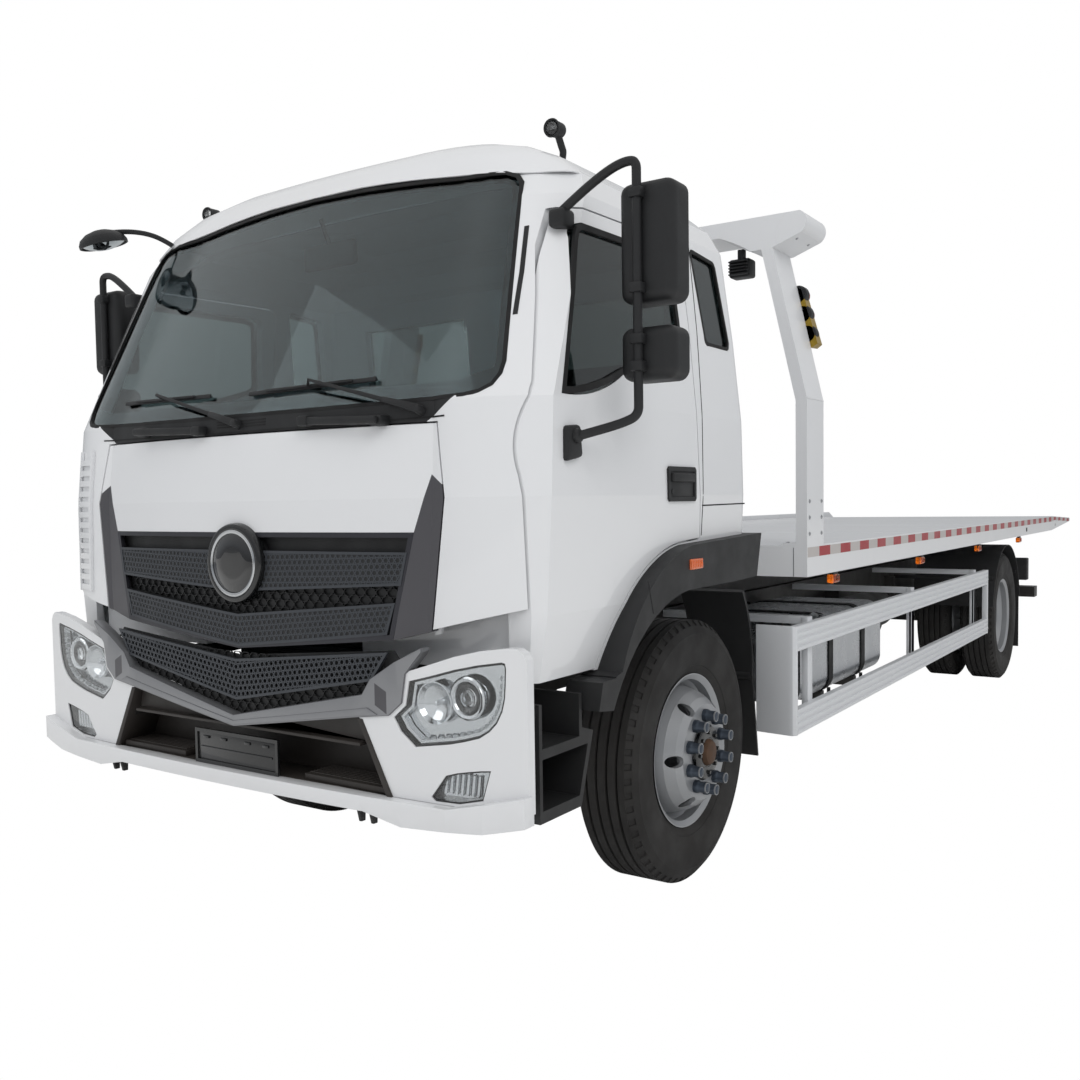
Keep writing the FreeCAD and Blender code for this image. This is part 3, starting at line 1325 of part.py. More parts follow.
def make_winch():
    """Winch at the front of the bed: drum between two side plates, gearbox and motor."""
    z = DECK_TOP + SEAT_GAP
    base = block(-1150, -900, -330, 330, z, z + 20)
    left = block(-1130, -920, 250, 270, z + 20, z + 260)
    right = block(-1130, -920, -270, -250, z + 20, z + 260)
    drum = bar((-1025, -250, z + 145), (-1025, 250, z + 145), 85)
    motor = bar((-1025, 270, z + 145), (-1025, 460, z + 145), 60)
    return joined([base, left, right, drum, motor])


def make_lift_boom():
    """Wheel-lift boom under the frame's rear end."""
    beam = block(-7150, -6420, -75, 75, 490, 610).cut(block(-7151, -6480, -60 - RUNNING_GAP, 60 + RUNNING_GAP, 505 - RUNNING_GAP, 595 + RUNNING_GAP))
    ear = bar((-6450, -90, 560), (-6450, 90, 560), 60).cut(bar((-6450, -100, 560), (-6450, 100, 560), 22))
    return joined([beam, ear]).cut(bar((-6450, -100, 560), (-6450, 100, 560), 22))


def make_lift_hanger():
    """Hanger plates that carry the wheel lift's pin below the frame."""
    plate = side_prism(outline((-6560, 695), (-6340, 695), (-6400, 520), (-6500, 520)), 92, 112)
    pin = bar((-6450, -112, 560), (-6450, 112, 560), 21.8)
    top = block(-6560, -6340, -417, 417, 690, RAIL_TOP - RAIL_HEIGHT - SEAT_GAP)
    return joined([plate, flipped(plate), pin, top])


def make_lift_stinger():
    """Stinger with its cross bar, sliding in the boom, and the bores for the wheel forks."""
    stinger = block(-7400, -6520, -60, 60, 505, 595)
    cross = block(-7480, -7330, -1110, 1110, 500, 600)
    bores = []
    for y in (-FORK_BORE_Y, FORK_BORE_Y):
        bores.append(bar((-7405, y, 490), (-7405, y, 610), FORK_BORE_RADIUS))
    return joined([stinger, cross]).cut(bores)


def build():
    """All pieces by node name."""
    skin_form = cab_form(0)
    skin = cab_skin()
    nodes = {}
    cowl = make_cowl(skin_form)
    nodes["cab_shell"] = make_cab_shell(skin, cowl)
    door = make_door(skin)
    nodes["door_left"] = door
    nodes["door_right"] = flipped(door)
    glass = glass_sheet(side_prism(door_window_wire(), 1000, 1300))
    nodes["door_glass_left"] = glass
    nodes["door_glass_right"] = flipped(glass)
    fittings = make_door_fittings(skin_form)
    nodes["door_fittings_left"] = fittings
    nodes["door_fittings_right"] = flipped(fittings)
    nodes["windscreen"] = make_windscreen()
    nodes["cab_windows"] = make_cab_windows()
    nodes["cowl"] = cowl
    nodes["front_lid"] = make_lid(skin_form)
    nodes["lid_pillars"] = both(make_pillar(skin_form))
    nodes["lid_grille"] = make_grille(skin_form)
    nodes["flares"] = make_flares()
    nodes["seats"] = make_seats()
    nodes["dashboard"] = make_dashboard()
    nodes["cab_arms"] = make_cab_arms()
    nodes["roof_lamps"] = make_roof_lamps(skin_form)
    nodes["frame_rails"] = make_rails()
    nodes["engine"] = make_engine()
    nodes["front_axle"] = make_front_axle()
    nodes["leaf_springs"] = make_springs()
    nodes["rear_axle"] = make_rear_axle()
    nodes["propeller_shaft"] = make_propshaft()
    nodes["bumper"] = make_bumper()
    nodes["bumper_band"] = make_v_band()
    nodes["bumper_grille"] = make_bumper_grille()
    nodes["front_lamps"] = make_lamps()
    nodes["entry_steps"] = make_entry_steps()
    nodes["fuel_tank"] = make_fuel_tank()
    nodes["side_equipment"] = make_side_equipment()
    nodes["side_guards"] = make_side_guards()
    nodes["front_mudguards"] = make_front_mudguards()
    nodes["rear_mudguards"] = make_rear_mudguards()
    nodes["rear_lamps"] = make_rear_lamps()
    nodes["lift_hanger"] = make_lift_hanger()
    knuckle = make_knuckle()
    nodes["knuckle_left"] = knuckle
    nodes["knuckle_right"] = flipped(knuckle)
    front_rim = make_front_rim()
    nodes["front_rim_left"] = front_rim
    nodes["front_rim_right"] = flipped(front_rim)
    front_tyre = make_tyre(0, FRONT_TRACK_HALF)
    nodes["front_tyre_left"] = front_tyre
    nodes["front_tyre_right"] = flipped(front_tyre)
    rear_rims = make_rear_rims()
    nodes["rear_rims_left"] = rear_rims
    nodes["rear_rims_right"] = flipped(rear_rims)
    rear_tyres = Part.makeCompound([make_tyre(REAR_AXLE_X, REAR_OUTER_Y), make_tyre(REAR_AXLE_X, REAR_INNER_Y)])
    nodes["rear_tyres_left"] = rear_tyres
    nodes["rear_tyres_right"] = flipped(rear_tyres)
    nodes["tilt_frame"] = make_tilt_frame()
    nodes["tilt_ears"] = make_tilt_ears()
    nodes["slide_barrel"] = make_slide_barrel()
    nodes["tilt_barrels"] = make_tilt_barrels()
    nodes["tilt_rods"] = make_tilt_rods()
    nodes["bed"] = make_bed()
    nodes["slide_rod"] = make_slide_rod()
    nodes["gantry"] = make_gantry()
    nodes["gantry_lamps"] = make_gantry_lamps()
    nodes["winch"] = make_winch()
    nodes["lift_boom"] = make_lift_boom()
    nodes["lift_stinger"] = make_lift_stinger()
    return nodes


MIDDLE_X = (FRONT_OVERHANG + TAIL_X) / 2

os.makedirs("parts", exist_ok=True)
for name, shape in build().items():
    piece = shape.copy()
    piece.translate(Vector(-MIDDLE_X, 0, 0))
    piece.exportStep("parts/" + name + ".step")
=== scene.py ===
import logging
import math
from collections.abc import Callable, Sequence
from dataclasses import dataclass, field
from enum import Enum

import bmesh
import bpy
from mathutils import Matrix, Vector


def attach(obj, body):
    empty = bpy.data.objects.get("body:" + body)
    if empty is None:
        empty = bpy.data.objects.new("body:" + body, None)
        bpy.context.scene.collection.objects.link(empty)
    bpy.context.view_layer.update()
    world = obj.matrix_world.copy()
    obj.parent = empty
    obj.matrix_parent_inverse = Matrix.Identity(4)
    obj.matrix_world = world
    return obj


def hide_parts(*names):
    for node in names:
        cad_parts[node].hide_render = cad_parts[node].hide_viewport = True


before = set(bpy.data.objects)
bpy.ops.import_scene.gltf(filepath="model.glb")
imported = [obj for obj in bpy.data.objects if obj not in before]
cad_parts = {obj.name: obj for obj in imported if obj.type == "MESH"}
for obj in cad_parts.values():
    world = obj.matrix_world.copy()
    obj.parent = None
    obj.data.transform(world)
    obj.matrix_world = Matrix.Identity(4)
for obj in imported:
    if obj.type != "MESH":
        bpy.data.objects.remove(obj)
log = logging.getLogger("tow_truck")

FRONT_AXLE_X = 3.590
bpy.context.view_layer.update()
MM = 0.001

Numbers = Sequence[float]
Points = Sequence[Numbers]
Pair = tuple[float, float]
Triple = tuple[float, float, float]
Quad = tuple[float, float, float, float]
Rule = Callable[[Vector], Vector]


def linear(hex_color: str, alpha: float = 1.0) -> Quad:
    """Turns an sRGB hex colour into the linear colour that a shader takes.

    Args:
        hex_color: Colour such as "#E9EAEC".
        alpha: Fourth channel.

    Returns:
        Linear red, green, blue and alpha.
    """
    channels = [int(hex_color[i:i + 2], 16) / 255 for i in (1, 3, 5)]
    red, green, blue = [c / 12.92 if c <= 0.04045 else ((c + 0.055) / 1.055) ** 2.4 for c in channels]
    return red, green, blue, alpha


def add_node(tree: bpy.types.NodeTree, kind: str, settings: dict[str, object] | None = None,
             links: dict[str | int, object] | None = None) -> bpy.types.Node:
    """Adds one node, sets it and links it.

    Args:
        tree: Node tree of the material or world.
        kind: Blender's node type.
        settings: Attributes of the node.
        links: For each input, the value it is set to or the output socket that feeds it.

    Returns:
        The new node.
    """
    node = tree.nodes.new(kind)
    for name, value in (settings or {}).items():
        setattr(node, name, value)
    for name, value in (links or {}).items():
        socket = node.inputs[name]
        if isinstance(value, bpy.types.NodeSocket):
            tree.links.new(value, socket)
        else:
            socket.default_value = value
    return node


@dataclass(frozen=True)
class Finish:
    """A finish with a mottled colour, a fine grain and a clear coat where it has one."""

    name: str
    color: str
    dust: str = "#8A8378"
    dust_share: float = 0.0
    mottle_mm: float = 400.0
    mottle_share: float = 0.04
    grain_mm: float = 6.0
    grain_height: float = 0.05
    roughness: float = 0.4
    metallic: float = 0.0
    coat: float = 0.0
    coat_roughness: float = 0.05
    ior: float = 1.5

    def material(self) -> bpy.types.Material:
        """Builds the material once and returns it."""
        made = bpy.data.materials.get(self.name)
        if made:
            return made
        made = bpy.data.materials.new(self.name)
        made.use_nodes = True
        tree = made.node_tree
        tree.nodes.clear()
        output = add_node(tree, "ShaderNodeOutputMaterial")
        shader = add_node(tree, "ShaderNodeBsdfPrincipled")
        tree.links.new(shader.outputs["BSDF"], output.inputs["Surface"])
        place = add_node(tree, "ShaderNodeTexCoord").outputs["Object"]
        self.dress(tree, shader, place)
        return made

    def dress(self, tree: bpy.types.NodeTree, shader: bpy.types.Node, place: bpy.types.NodeSocket) -> None:
        """Sets the shader and links the colour and grain.

        Args:
            tree: Node tree of the material.
            shader: Principled shader.
            place: Object coordinates.
        """
        shader.inputs["Metallic"].default_value = self.metallic
        if not self.metallic:
            shader.inputs["IOR"].default_value = self.ior
        shader.inputs["Coat Weight"].default_value = self.coat
        shader.inputs["Coat Roughness"].default_value = self.coat_roughness
        color = self.mottled(tree, place)
        tree.links.new(color, shader.inputs["Base Color"])
        tree.links.new(self.worn_roughness(tree, place), shader.inputs["Roughness"])
        tree.links.new(self.grain(tree, place), shader.inputs["Normal"])

    def mottled(self, tree: bpy.types.NodeTree, place: bpy.types.NodeSocket) -> bpy.types.NodeSocket:
        """Colour with a slow change over the surface and dust on top.

        Args:
            tree: Node tree of the material.
            place: Object coordinates.

        Returns:
            The colour's socket.
        """
        noise = add_node(tree, "ShaderNodeTexNoise", None,
                         {"Vector": place, "Scale": 1 / (self.mottle_mm * MM), "Detail": 4.0})
        dark = tuple(c * (1 - 2 * self.mottle_share) for c in linear(self.color)[:3]) + (1.0,)
        mix = add_node(tree, "ShaderNodeMix", {"data_type": "RGBA"},
                       {0: noise.outputs["Fac"], 6: dark, 7: linear(self.color)})
        if not self.dust_share:
            return mix.outputs[2]
        height = add_node(tree, "ShaderNodeSeparateXYZ", None, {0: place}).outputs[2]
        low = add_node(tree, "ShaderNodeMapRange", None, {0: height, 1: 0.2, 2: 1.5, 3: 1.0, 4: 0.15})
        spots = add_node(tree, "ShaderNodeMath", {"operation": "MULTIPLY"},
                         {0: low.outputs[0], 1: noise.outputs["Fac"]})
        share = add_node(tree, "ShaderNodeMath", {"operation": "MULTIPLY"},
                         {0: spots.outputs[0], 1: self.dust_share})
        dusty = add_node(tree, "ShaderNodeMix", {"data_type": "RGBA"},
                         {0: share.outputs[0], 6: mix.outputs[2], 7: linear(self.dust)})
        return dusty.outputs[2]

    def worn_roughness(self, tree: bpy.types.NodeTree, place: bpy.types.NodeSocket) -> bpy.types.NodeSocket:
        """Roughness that drifts a little over the surface.

        Args:
            tree: Node tree of the material.
            place: Object coordinates.

        Returns:
            The roughness's socket.
        """
        noise = add_node(tree, "ShaderNodeTexNoise", None, {"Vector": place, "Scale": 9.0, "Detail": 3.0})
        spread = add_node(tree, "ShaderNodeMapRange", None,
                          {0: noise.outputs["Fac"], 1: 0.3, 2: 0.7, 3: self.roughness * 0.85,
                           4: min(1.0, self.roughness * 1.15)})
        return spread.outputs[0]

    def grain(self, tree: bpy.types.NodeTree, place: bpy.types.NodeSocket) -> bpy.types.NodeSocket:
        """Fine bump of the surface.

        Args:
            tree: Node tree of the material.
            place: Object coordinates.

        Returns:
            The normal's socket.
        """
        noise = add_node(tree, "ShaderNodeTexNoise", None,
                         {"Vector": place, "Scale": 1 / (self.grain_mm * MM), "Detail": 2.0})
        bump = add_node(tree, "ShaderNodeBump", None,
                        {"Strength": self.grain_height, "Distance": 0.001, "Height": noise.outputs["Fac"]})
        return bump.outputs["Normal"]


@dataclass(frozen=True)
class ClearFinish(Finish):
    """Glass or clear plastic, tinted all through."""

    transmission: float = 1.0

    def dress(self, tree: bpy.types.NodeTree, shader: bpy.types.Node, place: bpy.types.NodeSocket) -> None:
        """Sets the shader as clear and links a faint waviness.

        Args:
            tree: Node tree of the material.
            shader: Principled shader.
            place: Object coordinates.
        """
        shader.inputs["Transmission Weight"].default_value = self.transmission
        shader.inputs["IOR"].default_value = self.ior
        shader.inputs["Base Color"].default_value = linear(self.color)
        tree.links.new(self.worn_roughness(tree, place), shader.inputs["Roughness"])
        tree.links.new(self.grain(tree, place), shader.inputs["Normal"])


class Paint(Enum):
    """Every plain finish of the truck."""

    # Two-coat enamel sprayed on steel: white with a faint pearl and an orange peel under a clear coat.
    WHITE = Finish("sprayed_white_enamel", "#E6E7E9", roughness=0.35, coat=1.0, coat_roughness=0.04,
                   grain_mm=9, grain_height=0.03, mottle_share=0.015, dust_share=0.05)
    # Painted polypropylene of the bumper: the same white, a touch warmer and softer.
    PEARL = Finish("painted_polypropylene", "#E3E4E6", roughness=0.38, coat=0.9, coat_roughness=0.06,
                   grain_mm=12, grain_height=0.04, mottle_share=0.02, dust_share=0.06)
    # Metallic dark grey lacquer on plastic: satin with fine flakes.
    GUNMETAL = Finish("gunmetal_lacquer", "#57565A", metallic=0.55, roughness=0.42, coat=0.3,
                      coat_roughness=0.3, grain_mm=1.5, grain_height=0.05)
    # Moulded polypropylene with a fine leather grain: dull black.
    PLASTIC = Finish("moulded_black_polypropylene", "#1C1D1F", roughness=0.55, grain_mm=1.6,
                     grain_height=0.35, mottle_share=0.05, dust_share=0.06)
    # Silver lacquer sprayed on moulded plastic: pale grey with a soft metallic sheen. It also paints a highlight on
    # the bumper band's lower face and shade along the bed's corner folds.
    TRIM = Finish("silver_lacquer", "#8E8F92", metallic=0.6, roughness=0.38, coat=0.3, grain_mm=2)
    # Chassis enamel brushed over hot-rolled steel: black, dull, dusty low down.
    CHASSIS = Finish("chassis_black_enamel", "#1A1B1C", roughness=0.5, grain_mm=5, grain_height=0.2,
                     dust_share=0.22)
    # Sand-cast iron, bare of paint where it is hot: dark and pitted.
    CAST = Finish("sand_cast_iron", "#2B2B2C", roughness=0.7, metallic=0.2, grain_mm=3, grain_height=0.5,
                  dust_share=0.2)
    # Hard-chromed ground steel: bright and smooth.
    CHROME = Finish("hard_chromed_rod", "#C8CACC", metallic=1.0, roughness=0.12, grain_mm=1,
                    grain_height=0.02)
    # Rolled and welded aluminium sheet of the tank: bright with a soft sheen.
    TANK = Finish("rolled_aluminium", "#B9BCC0", metallic=1.0, roughness=0.28, grain_mm=2, grain_height=0.05)
    # Powder coat baked onto the steel of bed and gantry: white with a fine peel.
    POWDER = Finish("white_powder_coat", "#E2E3E5", roughness=0.4, coat=0.4, grain_mm=3, grain_height=0.08,
                    mottle_share=0.02, dust_share=0.08)
    # Silver wheel enamel sprayed on pressed steel: light grey, faintly metallic, dusty.
    WHEEL = Finish("silver_wheel_paint", "#A9ABAE", metallic=0.55, roughness=0.4, grain_mm=3,
                   grain_height=0.1, dust_share=0.1)
    # Carbon-black tyre rubber: dull, slightly brown where it is dusty.
    RUBBER = Finish("tyre_rubber", "#1D1D1E", roughness=0.82, grain_mm=2.2, grain_height=0.35,
                    dust="#6E675E", dust_share=0.16)
    # Zinc-plated wheel nuts with blue passivation: dark blue-grey with a dull shine.
    ZINC = Finish("blue_zinc_plate", "#4C545F", metallic=0.7, roughness=0.35, grain_mm=1)
    # Aluminium vapour on moulded plastic, the reflector inside a lamp: nearly a mirror.
    REFLECTOR = Finish("metallised_reflector", "#D4D6D8", metallic=1.0, roughness=0.1, grain_mm=8,
                       grain_height=0.2)
    # Moulded plastic with a leather grain, inside the cab: dull dark grey.
    INTERIOR = Finish("grained_interior_plastic", "#2A2B2D", roughness=0.6, grain_mm=1.8, grain_height=0.3)
    # Glass-bead sheeting, laminated and cut into blocks: deep red with a fine sparkle.
    RED_TAPE = Finish("red_reflective_sheeting", "#A0121F", roughness=0.45, coat=0.2, grain_mm=2.5,
                      grain_height=0.2)
    # The same glass-bead sheeting in silver: a warm pale grey.
    WHITE_TAPE = Finish("silver_reflective_sheeting", "#BDB7B4", roughness=0.45, coat=0.2, grain_mm=2.5,
                        grain_height=0.2)
    # Zinc-plated sheet with a yellow passivation, of the gantry's lamp plates: gold with greenish clouds.
    YELLOW = Finish("yellow_passivated_plate", "#A98A2E", dust="#7C8A3E", dust_share=0.5, metallic=0.6,
                    roughness=0.32, mottle_mm=60, mottle_share=0.12, grain_mm=4)
    # Black moulding or print with a gloss, on lamp rims, the screen's border and the hub faces.
    GLOSS_BLACK = Finish("gloss_black_moulding", "#101112", roughness=0.24, coat=0.5, grain_mm=6, grain_height=0.05)
    # Dark satin lacquer on the grille's perforated plates: grey with a faint metallic sheen.
    SLAT = Finish("slate_lacquered_plate", "#44474C", metallic=0.35, roughness=0.42, grain_mm=2, grain_height=0.08)
    # Metallic lacquer sprayed on the grille's frame: darker than the pillars, satin.
    GUNMETAL_DARK = Finish("dark_gunmetal_lacquer", "#34343A", metallic=0.4, roughness=0.4, coat=0.2, grain_mm=1.5)
    # Polished lacquer of the badge's face: black and as clear as glass.
    BADGE = Finish("badge_black_lacquer", "#0B0B0D", roughness=0.08, coat=1.0, coat_roughness=0.02, grain_mm=60,
                   grain_height=0.02)
    # Warm dark grained plastic of the bumper's recess.
    RECESS = Finish("warm_grained_plastic", "#2B2725", roughness=0.5, grain_mm=1.8, grain_height=0.3, dust_share=0.1)
    # Extruded rubber of window seals and joints: black, dull.
    SEAL = Finish("extruded_seal_rubber", "#121213", roughness=0.7, grain_mm=3, grain_height=0.1)
    # Float glass silvered on its back, of the mirrors: a cool bright reflection.
    MIRROR = Finish("silvered_mirror", "#B9C0C4", metallic=1.0, roughness=0.02, grain_mm=300, grain_height=0.01)
    # Turned steel of the hub caps under a film of rust: brown and blotched.
    RUST = Finish("rust_filmed_steel", "#57483B", dust="#7A4B2C", dust_share=0.5, metallic=0.5, roughness=0.6,
                  mottle_mm=30, mottle_share=0.2, grain_mm=2, grain_height=0.3)
    # Electroplated bright zinc on bolts: light silver.
    ZINC_BOLT = Finish("bright_zinc_plate", "#A7A9AC", metallic=0.9, roughness=0.35, grain_mm=2)
    # Drawn steel wire laid into rope and oiled: dark grey with a fine glint.
    WIRE = Finish("oiled_wire_rope", "#5B5A57", metallic=0.8, roughness=0.4, grain_mm=2.5, grain_height=0.8)
    # Reflector plate on the arch trims, moulded acrylic over a bright back: glowing orange.
    AMBER_PLATE = Finish("amber_acrylic_over_bright_back", "#D9621E", roughness=0.2, coat=0.8, grain_mm=5,
                         grain_height=0.4)
    # White powder-coated aluminium of the guards: a little greyer than the body.
    GUARD = Finish("powder_coated_aluminium", "#DFE1E4", metallic=0.1, roughness=0.42, grain_mm=2.5,
                   grain_height=0.06, dust_share=0.1)
    # Woven seat cloth: charcoal with a visible thread every 3 mm.
    CLOTH = Finish("woven_seat_cloth", "#3B3D41", roughness=0.9, mottle_mm=25, mottle_share=0.12, grain_mm=3,
                   grain_height=0.6)


class Clear(Enum):
    """Every clear finish of the truck."""

    # Laminated screen glass with a grey-green tint.
    SCREEN = ClearFinish("laminated_screen_glass", "#A3B4B8", roughness=0.01, ior=1.52, grain_mm=300,
                         grain_height=0.02)
    # Tempered side glass, darker by its film.
    SIDE = ClearFinish("tempered_side_glass", "#5A6463", roughness=0.01, ior=1.52, grain_mm=300,
                       grain_height=0.02)
    # Injection-moulded polycarbonate lens of the lamps: clear and colourless.
    LENS = ClearFinish("polycarbonate_lens", "#F1F3F4", roughness=0.02, ior=1.49, grain_mm=40,
                       grain_height=0.02)
    # Frosted polycarbonate cells over the running lights: pale and milky.
    LED = ClearFinish("diffusing_polycarbonate", "#E7EBEE", roughness=0.25, ior=1.49, grain_mm=6, grain_height=0.3,
                      transmission=0.35)
    # Dyed and moulded acrylic of the rear lamps: deep clear red.
    RED = ClearFinish("red_acrylic", "#C0141A", roughness=0.08, ior=1.49, grain_mm=5, grain_height=0.4)
    # The same acrylic dyed amber, also of the side lamps: clear orange.
    AMBER = ClearFinish("amber_acrylic", "#E8731A", roughness=0.08, ior=1.49, grain_mm=5, grain_height=0.4)


FINISH_NODES: dict[Paint | Clear, str] = {
    Paint.WHITE: "cab_shell door_left door_right front_lid",
    Paint.PEARL: "bumper",
    Paint.GUNMETAL: "lid_pillars",
    Paint.PLASTIC: (
        "lid_grille bumper_grille cowl flares cab_arms roof_lamps door_fittings_left door_fittings_right "
        "entry_steps front_mudguards rear_mudguards"),
    Paint.TRIM: "bumper_band",
    Clear.LENS: "front_lamps",
    Clear.SCREEN: "windscreen",
    Clear.SIDE: "cab_windows door_glass_left door_glass_right",
    Paint.INTERIOR: "seats dashboard",
    Paint.CHASSIS: (
        "frame_rails leaf_springs propeller_shaft side_equipment lift_hanger tilt_frame tilt_ears "
        "slide_barrel tilt_barrels winch lift_boom lift_stinger"),
    Paint.CAST: "engine front_axle rear_axle knuckle_left knuckle_right",
    Paint.TANK: "fuel_tank",
    Paint.POWDER: "side_guards bed gantry",
    Clear.RED: "rear_lamps gantry_lamps",
    Paint.WHEEL: "front_rim_left front_rim_right rear_rims_left rear_rims_right",
    Paint.RUBBER: "front_tyre_left front_tyre_right rear_tyres_left rear_tyres_right",
    Paint.CHROME: "slide_rod tilt_rods",
}


def dress_nodes() -> None:
    """Gives each CAD node its finish."""
    finish_of = {name: finish for finish, names in FINISH_NODES.items() for name in names.split()}
    for name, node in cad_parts.items():
        node.data.materials.clear()
        node.data.materials.append(finish_of[name].value.material())


CAB_STATIONS = (
    (930, 1335, 1105), (1150, 1333, 1135), (1500, 1325, 1150), (1790, 1297, 1143), (2100, 1158, 1120),
    (2440, 1004, 1083), (2525, 962, 1040), (2590, 935, 960), (2650, 895, 835),
)
CORNER_DEPTH = 115
CORNER_WIDTH = 350
FACE_SAG = 11000
BUMPER_X = 1362
BUMPER_BEND_Y = 950
BUMPER_SAG = 35
BUMPER_SLOPE = 0.0645
BUMPER_CURL = 0.000283
AXLE_Z = 508
REAR_AXLE_X = -5450

FORWARD = (1, 0, 0)
BACKWARD = (-1, 0, 0)
LEFT = (0, 1, 0)
RIGHT = (0, -1, 0)
UP = (0, 0, 1)
PLANE_FACING = {"front": Vector(FORWARD), "side": Vector(LEFT), "plan": Vector(UP)}


def station(z: float) -> Pair:
    """Front and half width of the cab's skin at a height, in millimetres.

    Args:
        z: Height above the ground.

    Returns:
        Its front and its half width, between the two nearest stations.
    """
    z = min(max(z, CAB_STATIONS[0][0]), CAB_STATIONS[-1][0])
    for low, high in zip(CAB_STATIONS, CAB_STATIONS[1:]):
        if z <= high[0]:
            share = (z - low[0]) / (high[0] - low[0])
            return low[1] + (high[1] - low[1]) * share, low[2] + (high[2] - low[2]) * share
    return CAB_STATIONS[-1][1], CAB_STATIONS[-1][2]


def circle_through(a: Vector, b: Vector, c: Vector) -> tuple[Vector, float]:
    """Centre and radius of the circle through three places in a plane.

    Args:
        a: First place.
        b: Second place.
        c: Third place.

    Returns:
        Centre and radius.
    """
    across, along_it = b - a, c - a
    turn = 2 * (across.x * along_it.y - across.y * along_it.x)
    first, second = across.length_squared, along_it.length_squared
    centre = a + Vector((along_it.y * first - across.y * second, across.x * second - along_it.x * first)) / turn
    return centre, (centre - a).length


def cab_front(y: float, z: float) -> float:
    """How far forward the cab's skin is at a place seen from the front.

    Args:
        y: Distance to the left of the middle.
        z: Height above the ground.

    Returns:
        The forward place in millimetres: a shallow arc with a rounder corner at its end.
    """
    front, half = station(z)
    turn_y = half - min(CORNER_WIDTH, half / 2)
    turn_x = front - turn_y * turn_y / FACE_SAG
    side = abs(y)
    if side <= turn_y:
        return front - side * side / FACE_SAG
    start = Vector((turn_x, turn_y))
    end = Vector((turn_x - CORNER_DEPTH, half))
    bow = Vector((end.x + CORNER_DEPTH * math.sqrt(0.5), turn_y + (half - turn_y) * math.sqrt(0.5)))
    centre, radius = circle_through(start, bow, end)
    return centre.x + math.sqrt(max(0.0, radius * radius - (min(side, half) - centre.y) ** 2))


def bumper_front(y: float) -> float:
    """How far forward the bumper's face is at a distance from the middle, in millimetres.

    Args:
        y: Distance to the left of the middle.

    Returns:
        The forward place, which falls away faster at the corner.
    """
    side = abs(y)
    if side <= BUMPER_BEND_Y:
        return BUMPER_X - BUMPER_SAG * (side / BUMPER_BEND_Y) ** 2
    beyond = side - BUMPER_BEND_Y
    return BUMPER_X - BUMPER_SAG - BUMPER_SLOPE * beyond - BUMPER_CURL * beyond * beyond


